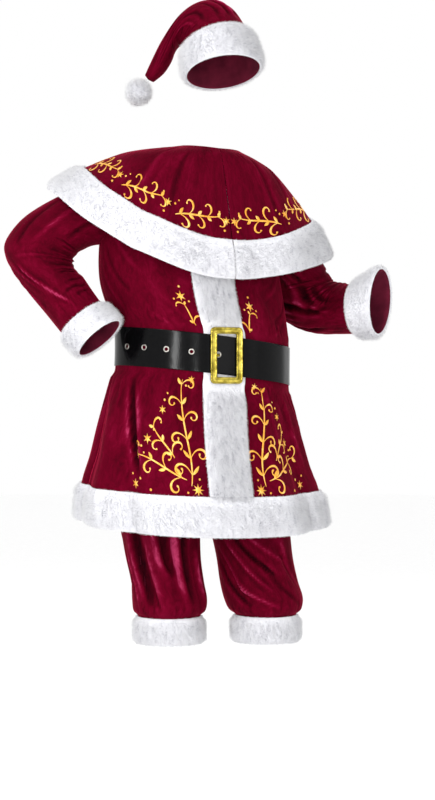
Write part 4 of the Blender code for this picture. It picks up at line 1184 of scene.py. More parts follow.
def make_hat_crown(settings):
    """The crown, which folds over to the wearer's right."""
    creases = crumple(settings, HAT_CREASES, HAT_FANS, HAT_M, HAT_ROW)

    def depth(u, v):
        """Calm under the fur band and at the tip."""
        return smooth((v - HAT_FUR_TOP) / 0.35) * smooth((9.9 - v) / 0.8) * creases(u, v)

    last = len(HAT) - 1.0
    us = all_round(96)
    vs = even_rows(hat_surface, TUBE_SIDE, 0.1, last)
    body = cloth_piece("hat_crown", hat_surface, us, vs, HAT_M, TUBE_SIDE, depth, tip=True)
    settle(body, "velvet")


# ---- fur ----
def lumps(points, size, seed):
    """A soft uneven value from about -1 to 1 at points, with bumps of a size in metres."""
    draw = np.random.default_rng(seed)
    total = np.zeros(len(points))
    waves = 9
    for _ in range(waves):
        direction = unit(draw.normal(size=3))
        length = size * draw.uniform(0.8, 1.9)
        total += np.sin(points @ direction * 2 * np.pi / length + draw.uniform(0, 6.3))
    return total / waves * 1.6


def grow(body, name, inputs, build):
    """Run a node tree on a body and leave a plain mesh of one material.

    inputs holds the kind and value of each of the tree's inputs. build adds the nodes that lead from
    the tree's inputs to the geometry that it returns.
    """
    group = bpy.data.node_groups.new(name, "GeometryNodeTree")
    for way in ("INPUT", "OUTPUT"):
        group.interface.new_socket(name="Geometry", in_out=way, socket_type="NodeSocketGeometry")
    change = body.modifiers.new(name, "NODES")
    ids = [group.interface.new_socket(name=label, in_out="INPUT", socket_type="NodeSocket" + kind).identifier
           for label, (kind, _value) in inputs.items()]
    tree = Tree(group)
    enter = tree.add("NodeGroupInput").outputs
    real = tree.out("GeometryNodeRealizeInstances", Geometry=build(tree, enter))
    done = tree.out("GeometryNodeSetMaterial", Geometry=real, Material=enter["Finish"])
    tree.add("NodeGroupOutput", n0=done)
    change.node_group = group
    for identifier, (_kind, value) in zip(ids, inputs.values()):
        change[identifier] = value
    frozen(body)
    bpy.data.node_groups.remove(group)


SWIRLS = 85.0              # how finely neighbouring hairs turn into locks
STRAY = 0.20               # how far a single hair leans its own way
SHORTEST, LONGEST = 0.72, 1.12    # a hair's length, as a share of what its place gives it
LUMPS = 0.0011             # how uneven the undercoat is at full pile
UNDERCOAT = 0.0009         # its least thickness


def plant_strands(tree, enter):
    """The nodes that plant tapered hairs on a fur base.

    The base's own attributes steer it: pile is the hairs' share of the full length, and lay the way
    in which they are combed.
    """
    pile = tree.named("pile")
    density = tree.math("MULTIPLY", tree.math("GREATER_THAN", pile, enter["Bare below"]),
                        enter["Hairs per square metre"])
    roots = tree.add("GeometryNodeDistributePointsOnFaces", Mesh=enter["Geometry"], Density=density,
                     Seed=enter["Seed"]).outputs
    hair = tree.out("GeometryNodeMeshCone", {"fill_type": "NONE"}, Vertices=3, Side_Segments=1,
                    Radius_Top=0.0, Radius_Bottom=1.0, Depth=1.0)
    place = tree.out("GeometryNodeInputPosition")
    height = tree.add("ShaderNodeSeparateXYZ", Vector=place).outputs["Z"]
    # along runs from a hair's root to its tip and sets the fur's painted root shade.
    hair = tree.keep(hair, "along", height)
    swirl = tree.add("ShaderNodeTexNoise", Vector=place, Scale=SWIRLS, Detail=1.0).outputs["Color"]
    swirl = tree.vector("SCALE", tree.vector("SUBTRACT", swirl, (0.5, 0.5, 0.5)),
                        Scale=enter["Lock strength"])
    stray = tree.out("FunctionNodeRandomValue", {"data_type": "FLOAT_VECTOR"}, n0=(-STRAY,) * 3,
                     n1=(STRAY,) * 3, Seed=enter["Seed"])
    combed = tree.vector("SCALE", tree.named("lay", "FLOAT_VECTOR"), Scale=enter["Combed"])
    way = tree.vector("ADD", roots["Normal"], combed)
    way = tree.vector("ADD", tree.vector("ADD", way, swirl), stray)
    uneven = tree.add("FunctionNodeRandomValue", {"data_type": "FLOAT"}, n2=SHORTEST, n3=LONGEST,
                      Seed=enter["Seed"]).outputs[1]
    length = tree.math("MULTIPLY", tree.math("MULTIPLY", uneven, pile), enter["Hair length"])
    size = tree.out("ShaderNodeCombineXYZ", X=enter["Hair thickness"], Y=enter["Hair thickness"], Z=length)
    planted = tree.out("GeometryNodeInstanceOnPoints", Points=roots["Points"], Instance=hair,
                       Rotation=tree.aim(way), Scale=size)
    clump = tree.out("ShaderNodeTexNoise", Vector=tree.vector("MULTIPLY", place, (1.0, 1.0, 0.25)),
                     Scale=enter["Lock size"], Detail=2.0)
    planted = tree.keep(planted, "lock", tree.math("SUBTRACT", clump, 0.5), "INSTANCE")
    both = tree.add("GeometryNodeJoinGeometry", n0=enter["Geometry"])
    tree.tree.links.new(planted, both.inputs[0])
    return both.outputs[0]


def plant(body, settings, density=1.0, length=1.0, combed=0.9, locks=1.0, seed=1):
    """Grow the hairs of a fur base and leave base and hairs as one plain mesh."""
    grow(body, "strands", {
        "Hairs per square metre": ("Float", settings.density * density),
        "Bare below": ("Float", 0.16),
        "Hair length": ("Float", settings.hair_length * length),
        "Hair thickness": ("Float", settings.hair_thickness),
        "Combed": ("Float", combed),
        "Lock strength": ("Float", settings.lock_strength * locks),
        "Lock size": ("Float", 130.0),
        "Seed": ("Int", seed),
        "Finish": ("Material", finish("fur")),
    }, plant_strands)
    body.data.shade_smooth()
    return body


def fur_piece(name, place, us, vs, low, high, comb, closed=True, seed=1, full=FUR, **planting):
    """A fur trim: a lumpy closed base at about half of the pile's height, and its hairs.

    high gives the pile's outer side; comb gives how far the hairs lean along u and along v.
    """
    settings = bpy.context.scene.santa_fur
    u, v = flat_grid(us, vs)
    height = high(u, v)
    middle = place(u, v, height)
    base = settings.base_share * (height - low) + LUMPS * lumps(middle, 0.016, seed) * height / full
    outer = place(u, v, low + np.maximum(base, UNDERCOAT))
    inner = place(u, v, np.full(len(u), low))
    mesh = wall_mesh(name, outer, inner, len(us), closed, np.asarray(us) * 0.003, vs)
    ahead = unit(place(u + 0.4, v, height) - place(u - 0.4, v, height))
    down = unit(place(u, v - 0.03, height) - place(u, v + 0.03, height))
    along_u, along_v = comb(u, v)
    wander = 0.22 * lumps(middle, 0.045, seed + 50)
    lay = ahead * np.reshape(along_u + wander, (-1, 1)) + down * np.reshape(along_v, (-1, 1))
    pile = np.clip((height - low) / full, 0, 1)
    store(mesh, "pile", "FLOAT", np.concatenate([pile, np.zeros(len(u))]))
    # The undercoat's along value gives it painted shade, darker where the pile is thin.
    store(mesh, "along", "FLOAT", np.concatenate([0.25 + 0.15 * pile, np.zeros(len(u))]))
    store(mesh, "lay", "FLOAT_VECTOR", np.concatenate([lay, lay]))
    face_out(mesh)
    body = plant(new_object(name, mesh, [finish("fur")]), settings, seed=seed, **planting)
    settle(body, "fur")
    return body


PRESSED = 0.0035           # pile height where the belt or the cape lies on the placket
FREE_OF_BELT = 0.072       # from the belt's middle to where its pressure begins to end
FREE_OF_CAPE = -0.245      # height below which the cape no longer presses


def pile(height, first, last):
    """The outer side of a fur trim that runs from v first to v last: thin at its two edges."""

    def distance(_u, v):
        edge = np.minimum(v - first, last - v) / (last - first)
        return GAP + height * (0.35 + 0.65 * smooth(edge / 0.2))

    return distance


def placket_pile(u, v):
    """The placket's pile: pressed flat under the belt and under the cape, thin at both sides."""
    level = spline(COAT, v)
    z, half_width = level[:, 0], level[:, 3]
    belt = smooth((np.abs(z - BELT_LEVEL) - FREE_OF_BELT) / 0.030)
    cape = smooth((FREE_OF_CAPE - z) / 0.030)
    height = PRESSED + (FUR - PRESSED) * np.minimum(belt, cape)
    half = np.degrees(PLACKET_WIDTH / 2 / half_width)
    side = smooth((1 - np.abs(u) / half) / 0.35)
    return LAID + height * (0.35 + 0.65 * side)


def swept(along_u, along_v):
    """Hairs that all lean the same way along u and v."""

    def comb(u, _v):
        return np.full(len(u), float(along_u)), np.full(len(u), float(along_v))

    return comb


def make_fur_trims(_settings):
    """Every fur trim of coat, cape and trousers."""
    coat = over(coat_point)
    us = all_round(300, -180)
    vs = np.linspace(0.0, T_HEM, 17)
    fur_piece("hem_fur", coat, us, vs, GAP, pile(FUR, 0.0, T_HEM), swept(0.0, 0.45), seed=71)

    def strip(u, v):
        return coat_point(u * PLACKET_WIDTH / 2 / spline(COAT, v)[:, 3], v)

    def strip_pile(u, v):
        return placket_pile(u * PLACKET_WIDTH / 2 / spline(COAT, v)[:, 3], v)

    def parted(u, _v):
        """The placket's hairs fall and part a little to both sides."""
        return 0.55 * u / math.degrees(1), np.full(len(u), 1.1)

    vs = even_rows(coat, 0, row_at(COAT, HEM_FUR_TOP + 0.0005), PLACKET_TOP, 0.006)
    us = np.linspace(-math.degrees(1), math.degrees(1), 21)
    fur_piece("placket_fur", over(strip), us, vs, LAID, strip_pile, parted, closed=False, seed=72,
              length=1.5, density=1.1, combed=1.0, locks=1.4)
    us = np.linspace(CAPE_SLIT, 360 - CAPE_SLIT, 300)
    fur_piece("cape_fur", over(cape_point), us, np.linspace(0.0, 1.05, 15), LAID, pile(FUR, 0.0, 1.05),
              swept(0.0, 0.55), closed=False, seed=73)
    for seed, (side, sleeve) in enumerate(SLEEVES.items(), 74):
        first = len(sleeve.table) - 1.0
        fur_piece("cuff_fur_" + side, sleeve_surface(sleeve), all_round(84),
                  np.linspace(first, first + 1, 15), GAP, pile(FUR, first, first + 1),
                  swept(0.0, -0.5), seed=seed)
    for seed, (side, leg) in enumerate(LEGS.items(), 76):

        def cuff_surface(u, v, leg=leg):
            """Straight down from the leg's narrow level above the cuff."""
            points = leg_point(leg, u, np.ones(len(u)))
            points[:, 2] = LEG_FUR_BOTTOM + (LEG_FUR_TOP - LEG_FUR_BOTTOM) * v
            return points

        fur_piece("trouser_fur_" + side, over(cuff_surface), all_round(84),
                  np.linspace(0.0, 1.0, 12), GAP, pile(FUR, 0.0, 1.0), swept(0.0, 0.5), seed=seed)


def make_hat_fur(_settings):
    """The hat's band and the ball at its tip."""
    fur_piece("hat_fur", hat_surface, all_round(100), np.linspace(0.0, HAT_FUR_TOP, 15),
              LAID, pile(HAT_FUR, 0.0, HAT_FUR_TOP), swept(0.15, 0.3), seed=78, full=HAT_FUR, length=1.3,
              locks=1.6)
    u = all_round(22)
    last = len(HAT) - 1.0
    tip = hat_surface(u, np.full(len(u), last), 0.0).mean(axis=0)
    before = hat_surface(u, np.full(len(u), last - 0.5), 0.0).mean(axis=0)
    middle = tip + unit(tip - before) * (POMPOM_RADIUS + GAP)
    bm = bmesh.new()
    bmesh.ops.create_icosphere(bm, subdivisions=4, radius=POMPOM_BASE * POMPOM_RADIUS)
    bmesh.ops.translate(bm, verts=bm.verts, vec=Vector(middle))
    mesh = mesh_from("hat_pompom", bm)
    points = np.array([vert.co for vert in mesh.vertices])
    out = unit(points - middle)
    points += out * (0.0022 * lumps(points, 0.014, 79))[:, None]
    mesh.vertices.foreach_set("co", points.astype(np.float32).ravel())
    store(mesh, "pile", "FLOAT", np.ones(len(points)))
    # The ball's undercoat gets the painted shade of hair roots.
    store(mesh, "along", "FLOAT", np.full(len(points), 0.3))
    store(mesh, "lay", "FLOAT_VECTOR", np.zeros((len(points), 3)))
    body = plant(new_object("hat_pompom", mesh, [finish("fur")]), bpy.context.scene.santa_fur,
                 length=1.15, density=1.9, combed=0.0, seed=80)
    settle(body, "fur")


# ---- gold print ----
# A vine is a bowed stem with curls that leave it on alternate sides. Places and lengths in metres,
# directions in degrees from the pattern's x axis, bends in degrees for each metre of the line.
# A berry is its place and radius.
Vine = namedtuple("Vine", "x y heading length bend_start bend_end curls curl_length side")
Star = namedtuple("Star", "x y radius points")
FOIL_HIGH = 0.0011         # the foil's face over the velvet's surface
FOIL_LOW = 0.0003
STEM_STEPS, CURL_STEPS, LEAF_STEPS = 40, 34, 10    # points along each kind of line
CURL_TURN, LEAF_TURN = 34, -52                     # how curls and leaves turn off their stem
Motif = namedtuple("Motif", "vines stars berries")
SKIRT = Motif([
    Vine(0.040, -0.778, 104, 0.222, -430, 420, 6, 0.088, 1),
    Vine(0.050, -0.766, 18, 0.134, 380, -620, 4, 0.074, 1),
    Vine(0.074, -0.722, 60, 0.084, -620, 700, 3, 0.058, -1),
], [
    Star(0.026, -0.786, 0.014, 8), Star(0.140, -0.684, 0.012, 6), Star(0.186, -0.780, 0.011, 6),
    Star(0.100, -0.622, 0.010, 6), Star(0.028, -0.556, 0.009, 6),
], [
    (0.122, -0.664, 0.0030), (0.158, -0.700, 0.0026), (0.152, -0.714, 0.0022), (0.106, -0.642, 0.0024),
    (0.094, -0.602, 0.0028), (0.086, -0.588, 0.0022), (0.040, -0.570, 0.0024), (0.168, -0.768, 0.0028),
    (0.194, -0.760, 0.0024), (0.140, -0.790, 0.0030), (0.050, -0.792, 0.0024), (0.020, -0.764, 0.0024),
])
CHEST = Motif(
    [Vine(0.016, -0.430, 70, 0.050, 500, -900, 2, 0.036, -1)],
    [Star(0.036, -0.366, 0.013, 6)],
    [(0.036, -0.344, 0.0028), (0.018, -0.376, 0.0024), (0.054, -0.374, 0.0024)],
)
CAPE_EDGE = Motif(
    [Vine(-0.062, 0.026, 34, 0.116, -720, 420, 5, 0.060, 1)],
    [Star(0.064, 0.046, 0.010, 6)],
    [(0.058, 0.022, 0.0028), (0.048, 0.064, 0.0024), (-0.066, 0.050, 0.0026), (-0.058, 0.060, 0.0020)],
)
CAPE_REPEATS = 10


def stroke_path(x, y, heading, length, bend_start, bend_end, count):
    """Points along a line whose bend changes evenly: a bow, an S or a curl."""
    s = np.linspace(0.0, length, count)
    turn = np.radians(heading + bend_start * s + (bend_end - bend_start) * s**2 / (2 * length))
    step = np.stack((np.cos(turn), np.sin(turn)), axis=1)
    middle = (step[1:] + step[:-1]) / 2 * np.diff(s)[:, None]
    return np.array((x, y)) + np.concatenate([[(0.0, 0.0)], np.cumsum(middle, axis=0)]), turn


def vine_strokes(vine, width):
    """A vine's stem, curls and leaves, each as its line and half widths."""
    stem, turn = stroke_path(*vine[:6], STEM_STEPS)
    share = np.linspace(0, 1, STEM_STEPS)
    strokes = [(stem, width * (0.35 + 0.65 * np.sin(np.pi * share**0.8)))]
    for k in range(vine.curls):
        at = round((STEM_STEPS - 1) * (0.10 + 0.84 * k / max(vine.curls - 1, 1)))
        side = vine.side * (1 if k % 2 else -1)
        size = 1.0 - 0.42 * k / vine.curls
        length = vine.curl_length * size
        curl = stroke_path(*stem[at], math.degrees(turn[at]) + CURL_TURN * side, length, -9.0 * side / size,
                           8900 * side / size**0.5, CURL_STEPS)[0]
        share_curl = np.linspace(0, 1, CURL_STEPS)
        swell = 0.35 + 0.95 * np.exp(-(((share_curl - 0.52) / 0.26) ** 2))
        swell += 0.85 * np.exp(-(((share_curl - 0.965) / 0.03) ** 2))
        strokes.append((curl, width * swell * size**0.4))
        leaf, _turn = stroke_path(*stem[at], math.degrees(turn[at]) + LEAF_TURN * side, 0.30 * length,
                                  side * 1500, side * 400, LEAF_STEPS)
        strokes.append((leaf, 1.7 * width * np.sin(np.pi * np.linspace(0, 1, LEAF_STEPS)) ** 0.8))
    return strokes


def add_ribbon(bm, line, half, put):
    """A closed, slightly crowned ribbon along a line of the pattern."""
    ahead = unit(np.gradient(line, axis=0))
    aside = np.stack((-ahead[:, 1], ahead[:, 0]), axis=1)
    half = np.maximum(half, 0.00025)[:, None]
    left, right = line + aside * half, line - aside * half
    bottom = (put(left, FOIL_LOW), put(right, FOIL_LOW))
    top = (put(right, FOIL_HIGH * 0.8), put(line, FOIL_HIGH), put(left, FOIL_HIGH * 0.8))
    loops = [[bm.verts.new(point) for point in points] for points in (*bottom, *top)]
    bridge(bm, [*loops, loops[0]], closed=False)
    for i in (0, -1):
        bm.faces.new([loop[i] for loop in loops])


def add_star(bm, centre, radius, points, turn, put, inner=0.36):
    """A closed star, or a berry where it has as deep a waist as its points."""
    angles = np.radians(turn + 180 * np.arange(2 * points) / points)
    reach = np.where(np.arange(2 * points) % 2, inner * radius, radius)
    edge = np.array(centre) + np.stack((reach * np.cos(angles), reach * np.sin(angles)), axis=1)
    middle = np.array([centre])
    top = [bm.verts.new(point) for point in put(edge, FOIL_HIGH * 0.8)]
    low = [bm.verts.new(point) for point in put(edge, FOIL_LOW)]
    crown = bm.verts.new(put(middle, FOIL_HIGH)[0])
    floor = bm.verts.new(put(middle, FOIL_LOW)[0])
    for i in range(2 * points):
        k = (i + 1) % (2 * points)
        bm.faces.new((top[i], top[k], crown))
        bm.faces.new((low[k], low[i], floor))
        bm.faces.new((low[i], low[k], top[k], top[i]))


def draw_motif(bm, motif, width, put):
    for vine in motif.vines:
        for line, half in vine_strokes(vine, width):
            add_ribbon(bm, line, half, put)
    for star in motif.stars:
        add_star(bm, star[:2], star.radius, star.points, 90, put)
    for x, y, radius in motif.berries:
        add_star(bm, (x, y), radius, 5, 0, put, inner=1.0)


def finish_foil(name, bm):
    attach(new_object(name, smooth_mesh(name, bm), [finish("foil")]), "root")


def make_print(settings, cloth):
    """The gold print beside the placket, on the chest and round the cape."""
    depth = coat_creases(cloth)
    coat = over(coat_point)
    for side, sign in (("right", -1), ("left", 1)):

        def on_front(points, out, sign=sign):
            """From the placket's edge outwards, and up by height."""
            v = row_at(COAT, points[:, 1])
            half_width = spline(COAT, v)[:, 3]
            u = sign * np.degrees((PLACKET_WIDTH / 2 + points[:, 0]) / half_width)
            return coat(u, v, depth(u, v) + out)

        bm = bmesh.new()
        draw_motif(bm, SKIRT, settings.line_width, on_front)
        draw_motif(bm, CHEST, 0.8 * settings.line_width, on_front)
        finish_foil("print_front_" + side, bm)
    angles = np.linspace(-20, 380, 801)
    seam = cape_point(angles, np.full(len(angles), 1.25))
    along = lengths(seam)
    along -= np.interp(0.0, angles, along)
    whole = np.interp(360.0, angles, along)
    cape = over(cape_point)
    bm = bmesh.new()
    for k in range(CAPE_REPEATS):
        middle = whole * (k + 0.5) / CAPE_REPEATS
        mirrored = -1 if k < CAPE_REPEATS / 2 else 1

        def on_cape(points, out, middle=middle, mirrored=mirrored):
            """Round the cape from the motif's middle, and up from the fur's seam."""
            u = np.interp(middle + mirrored * points[:, 0], along, angles)
            seam, shoulder = (cape_point(u, np.full(len(u), row)) for row in (1.0, 2.0))
            span = np.linalg.norm(shoulder - seam, axis=1)
            return cape(u, 1.06 + points[:, 1] / span, np.full(len(u), out))

        draw_motif(bm, CAPE_EDGE, settings.line_width, on_cape)
    finish_foil("print_cape", bm)


# ---- belt ----
STRAP_TAIL = 38.0          # the loose end lies under the strap from the buckle to this angle
STRAP_FIXED = 11.1         # the strap's fixed end stands at the outer edge of the buckle's left bar
STRAP_LOW = BELT_LEVEL - BELT_WIDTH / 2
STRAP_HIGH = BELT_LEVEL + BELT_WIDTH / 2
BUCKLE_SEAT = 0.0012       # the buckle's underside over the strap
# Section of the buckle's frame from its outer to its inner edge: how far in, and how high.
RAIL = [(0.0, 0.0), (0.0, 0.0030), (0.0006, 0.0042), (0.0018, 0.0047), (0.0031, 0.0042), (0.0040, 0.0032),
        (0.0052, 0.0028), (0.0103, 0.0028), (0.0115, 0.0032), (0.0124, 0.0042), (0.0137, 0.0047),
        (0.0149, 0.0042), (0.0155, 0.0030), (0.0155, 0.0)]
# Sections of the prong from its root to its tip: how far along, half width and height.
PRONG = [(0.0, 0.0034, 0.0040), (0.0022, 0.0036, 0.0041), (0.0045, 0.0034, 0.0038), (0.0062, 0.0027, 0.0030),
         (0.0072, 0.0014, 0.0018)]
FRONT_RADIUS = 0.207       # how wide the coat curves where the fur strip passes under the belt
BELT_RADIUS = 0.19         # how wide the belt curves where the eyelets are
FUR_LIFT = 0.0050          # how far the fur strip holds the belt off the coat
TAIL_END = 338             # from this turn on the strap rises over its loose end
FIRST_EYELET = -4.95       # angle of the eyelet under the prong
HOLE_RADIUS = 0.0050
EYELET_RADIUS, BEAD_RADIUS = 0.0056, 0.0016    # of the eyelet's ring and of the bead it is bent from
FLAT_BEAD = 0.72           # how far the bead is pressed flat


def strap_point(turn, v):
    """The strap's inner side. turn runs from its loose end backwards round the body, v up its width."""
    angle = STRAP_TAIL - turn
    level = spline(COAT, row_at(COAT, STRAP_LOW + (STRAP_HIGH - STRAP_LOW) * v)).T
    front = math.degrees(PLACKET_WIDTH / 2 / FRONT_RADIUS)
    over_fur = FUR_LIFT * smooth((front + 9 - np.abs((angle + 180) % 360 - 180)) / 12)
    over_tail = (BELT_THICK + 2 * GAP) * smooth((turn - TAIL_END) / 14)
    return level_point(level, angle, LAID + over_fur + over_tail)


def strap_normal(turn, v):
    ahead = strap_point(turn + 0.5, v) - strap_point(turn - 0.5, v)
    up = strap_point(turn, np.ones(len(turn))) - strap_point(turn, np.zeros(len(turn)))
    return unit(np.cross(up, ahead))


def strap_frame(angle):
    """Middle, outward direction and up direction of the strap's outer side at an angle."""
    turn = np.array([STRAP_TAIL - angle])
    low, high = strap_point(turn, np.zeros(1))[0], strap_point(turn, np.ones(1))[0]
    up = unit(high - low)
    ahead = (strap_point(turn + 0.5, np.full(1, 0.5)) - strap_point(turn - 0.5, np.full(1, 0.5)))[0]
    outward = unit(np.cross(up, ahead))
    return (low + high) / 2 + outward * BELT_THICK, outward, up


def eyelet_frames():
    spacing = math.degrees(EYELET_SPACING / BELT_RADIUS)
    return [strap_frame(FIRST_EYELET - spacing * k) for k in range(EYELETS)]


def make_strap():
    """The strap, with rounded cut edges and a hole for each eyelet."""
    radius = BELT_THICK / 2
    arc = np.radians(np.linspace(0, 180, 7))
    low = [(radius * (1 - math.sin(a)) / BELT_WIDTH, radius * (1 - math.cos(a))) for a in arc]
    high = [(1 - v, out) for v, out in reversed(low)]
    across = np.linspace(0.06, 0.94, 12)
    section = [*low, *((v, BELT_THICK) for v in across), *high, *((v, 0.0) for v in reversed(across))]
    turns = np.linspace(0, 360 + STRAP_TAIL - STRAP_FIXED, 260)
    turn = np.repeat(turns, len(section))
    v, out = np.tile(np.array(section), (len(turns), 1)).T
    points = strap_point(turn, v) + strap_normal(turn, v) * out[:, None]
    count = len(section)
    faces = grid_quads(len(turns), count, True)[0].tolist()
    faces += [list(range(count))[::-1], list(range(len(points) - count, len(points)))]
    mesh = mesh_of("belt_strap", points, faces)
    face_out(mesh)
    mesh.shade_smooth()
    mesh.set_sharp_from_angle(angle=math.radians(60))
    strap = new_object("belt_strap", mesh, [finish("vinyl")])
    cutters = []
    for number, (middle, outward, _up) in enumerate(eyelet_frames(), 1):
        bm = bmesh.new()
        bmesh.ops.create_cone(bm, cap_ends=True, segments=32, radius1=HOLE_RADIUS, radius2=HOLE_RADIUS,
                              depth=0.008)
        bm.transform(Vector(outward).to_track_quat("Z", "Y").to_matrix().to_4x4())
        bmesh.ops.translate(bm, verts=bm.verts, vec=Vector(middle))
        cutters.append(new_object(f"hole_{number}", mesh_from(f"hole_{number}", bm), []))
    cut_away(strap, *cutters)
    discard(cutters)
    settle(strap, "vinyl")


def make_eyelets():
    """The eyelets: one pressed ring, set at each hole."""
    frames = eyelet_frames()
    mesh = mesh_of("eyelets", [middle + outward * 0.0004 for middle, outward, _up in frames])
    store(mesh, "outward", "FLOAT_VECTOR", np.concatenate([outward for _middle, outward, _up in frames]))
    body = new_object("eyelets", mesh, [finish("steel")])

    def set_rings(tree, enter):
        ring, bead = (tree.out("GeometryNodeCurvePrimitiveCircle", Resolution=count, Radius=enter[radius])
                      for count, radius in ((40, "Ring radius"), (12, "Bead radius")))
        tube = tree.out("GeometryNodeCurveToMesh", Curve=ring, Profile_Curve=bead)
        tube = tree.out("GeometryNodeSetShadeSmooth", Geometry=tube)
        turned = tree.aim(tree.named("outward", "FLOAT_VECTOR"))
        return tree.out("GeometryNodeInstanceOnPoints", Points=enter["Geometry"], Instance=tube,
                        Rotation=turned, Scale=(1.0, 1.0, FLAT_BEAD))

    grow(body, "eyelets", {
        "Ring radius": ("Float", EYELET_RADIUS),
        "Bead radius": ("Float", BEAD_RADIUS),
        "Finish": ("Material", finish("steel")),
    }, set_rings)
    settle(body, "eyelet", *(f"eyelet_{k + 1}" for k in range(EYELETS)))


def rounded_rectangle(width, height, radius, corner_steps=9):
    points = []
    for k, (sx, sy) in enumerate(((1, 1), (-1, 1), (-1, -1), (1, -1))):
        a = np.pi / 2 * (k + np.arange(corner_steps + 1) / corner_steps)
        points += zip(sx * (width / 2 - radius) + radius * np.cos(a),
                      sy * (height / 2 - radius) + radius * np.sin(a))
    return points


def make_buckle():
    """The cast frame, with a raised rail at its outer and inner edge, and its short prong."""
    middle, outward, up = strap_frame(0.0)
    right = np.cross(up, outward)

    def placed(x, y, z):
        return middle + right * x + up * y + outward * (z + BUCKLE_SEAT)

    bm = bmesh.new()
    rings = []
    for inset, z in RAIL:
        loop = rounded_rectangle(BUCKLE_WIDTH - 2 * inset, BUCKLE_HEIGHT - 2 * inset, 0.010 - inset * 0.45)
        rings.append([bm.verts.new(placed(x, y, z)) for x, y in loop])
    bridge(bm, [*rings, rings[0]])
    finish_metal("belt_buckle", bm)
    inner_edge = -BUCKLE_WIDTH / 2 + RAIL[-1][0] + GAP
    bm = bmesh.new()
    rings = []
    for x, half, top in PRONG:
        rings.append([bm.verts.new(placed(inner_edge + x, half * math.cos(a), top / 2 * (1 + math.sin(a))))
                      for a in np.radians(np.arange(0, 360, 22.5))])
    bridge(bm, rings)
    bm.faces.new(rings[0])
    bm.faces.new(rings[-1])
    finish_metal("buckle_prong", bm)


def finish_metal(name, bm):
    mesh = smooth_mesh(name, bm)
    mesh.set_sharp_from_angle(angle=math.radians(50))
    settle(new_object(name, mesh, [finish("brass")]), "brass")


# ---- stage ----
FLOOR_LEVEL = -1.524       # where the wearer's soles are
FLOOR_RADIUS = 14.0
VIEW_TURN = -20.0          # the camera stands this far to the wearer's right of the front
VIEW_DISTANCE = 4.5
VIEW_SIDE = 0.0228         # what the camera looks at: how far to its right of the origin
VIEW_LEVEL = -0.595
VIEW_HEIGHT = 1.92         # how much the frame's long side takes in at that distance
SENSOR = 36.0
# Lamps: how far towards the camera, to its right and up, the size across and, for a strip, its height,
# the share of the key light's power, and the height that it is aimed at.
Lamp = namedtuple("Lamp", "name near right up size tall power aim")
LAMPS = [
    Lamp("key", 3.0, -1.6, 1.5, 1.2, None, 1.0, -0.5),
    Lamp("fill", 3.2, 2.2, 0.2, 2.0, None, 0.3, -0.5),
    Lamp("strip", 2.9, -0.62, -0.45, 0.12, 1.6, 1.0, -0.45),
    Lamp("rim", -2.6, 1.2, 2.0, 1.2, None, 0.5, -0.5),
]


def add_light(lamp, place, power):
    """A soft lamp: a disc, or a strip where it is given a height."""
    light = bpy.data.lights.new(lamp.name, "AREA")
    light.shape = "RECTANGLE" if lamp.tall else "DISK"
    light.size = lamp.size
    if lamp.tall:
        light.size_y = lamp.tall
    light.energy = power
    body = bpy.data.objects.new(lamp.name, light)
    body.location = place
    body.rotation_euler = (Vector((0, 0, lamp.aim)) - place).to_track_quat("-Z", "Y").to_euler()
    bpy.context.scene.collection.objects.link(body)


def make_stage(settings):
    """Floor, white surroundings, soft lamps and the camera."""
    bm = bmesh.new()
    bmesh.ops.create_circle(bm, cap_ends=True, segments=96, radius=FLOOR_RADIUS)
    bmesh.ops.translate(bm, verts=bm.verts, vec=(0, 0, FLOOR_LEVEL))
    new_object("floor", mesh_from("floor", bm), [finish("paint")])
    world = bpy.data.worlds.new("white studio")
    world.use_nodes = True
    sky = world.node_tree.nodes["Background"]
    sky.inputs["Color"].default_value = (1.0, 1.0, 1.0, 1.0)
    sky.inputs["Strength"].default_value = settings.surroundings
    bpy.context.scene.world = world
    turn = math.radians(VIEW_TURN)
    right = Vector((math.cos(turn), math.sin(turn), 0.0))
    near = Vector((math.sin(turn), -math.cos(turn), 0.0))
    for lamp in LAMPS:
        place = near * lamp.near + right * lamp.right + Vector((0, 0, lamp.up))
        add_light(lamp, place, settings.key_power * lamp.power)
    lens = bpy.data.cameras.new("camera")
    lens.sensor_fit = "VERTICAL"
    lens.sensor_height = SENSOR
    lens.lens = SENSOR * VIEW_DISTANCE / VIEW_HEIGHT
    camera = bpy.data.objects.new("camera", lens)
    camera.location = right * VIEW_SIDE + Vector((0, 0, VIEW_LEVEL)) + near * VIEW_DISTANCE
    camera.rotation_euler = (math.pi / 2, 0.0, turn)
    bpy.context.scene.collection.objects.link(camera)
    bpy.context.scene.camera = camera
    bpy.context.scene.view_settings.view_transform = "Standard"


# ---- add-on ----
class SantaClothSettings(bpy.types.PropertyGroup):
    """How the velvet falls."""

    crease_strength: bpy.props.FloatProperty(
        name="Crease strength", description="How deep the creases of the velvet are",
        default=1.0, min=0.0, max=1.5)


class SantaFurSettings(bpy.types.PropertyGroup):
    """How the fur trims are grown."""

    density: bpy.props.FloatProperty(
        name="Hairs", description="Hairs on each square metre of fur", default=230000.0, min=0.0)
    hair_length: bpy.props.FloatProperty(
        name="Hair length", description="Length of a hair where the pile is full",
        default=0.0125, unit="LENGTH")
    hair_thickness: bpy.props.FloatProperty(
        name="Hair thickness", description="Radius of a hair at its root", default=0.0005, unit="LENGTH")
    lock_strength: bpy.props.FloatProperty(
        name="Locks", description="How much neighbouring hairs lean together", default=0.75, min=0.0)
    base_share: bpy.props.FloatProperty(
        name="Undercoat", description="Share of the pile's height that is closed undercoat",
        default=0.52, min=0.1, max=0.9)


class SantaPrintSettings(bpy.types.PropertyGroup):
    """The gold print."""

    line_width: bpy.props.FloatProperty(
        name="Line width", description="Half width of a stem at its widest", default=0.0021, unit="LENGTH")


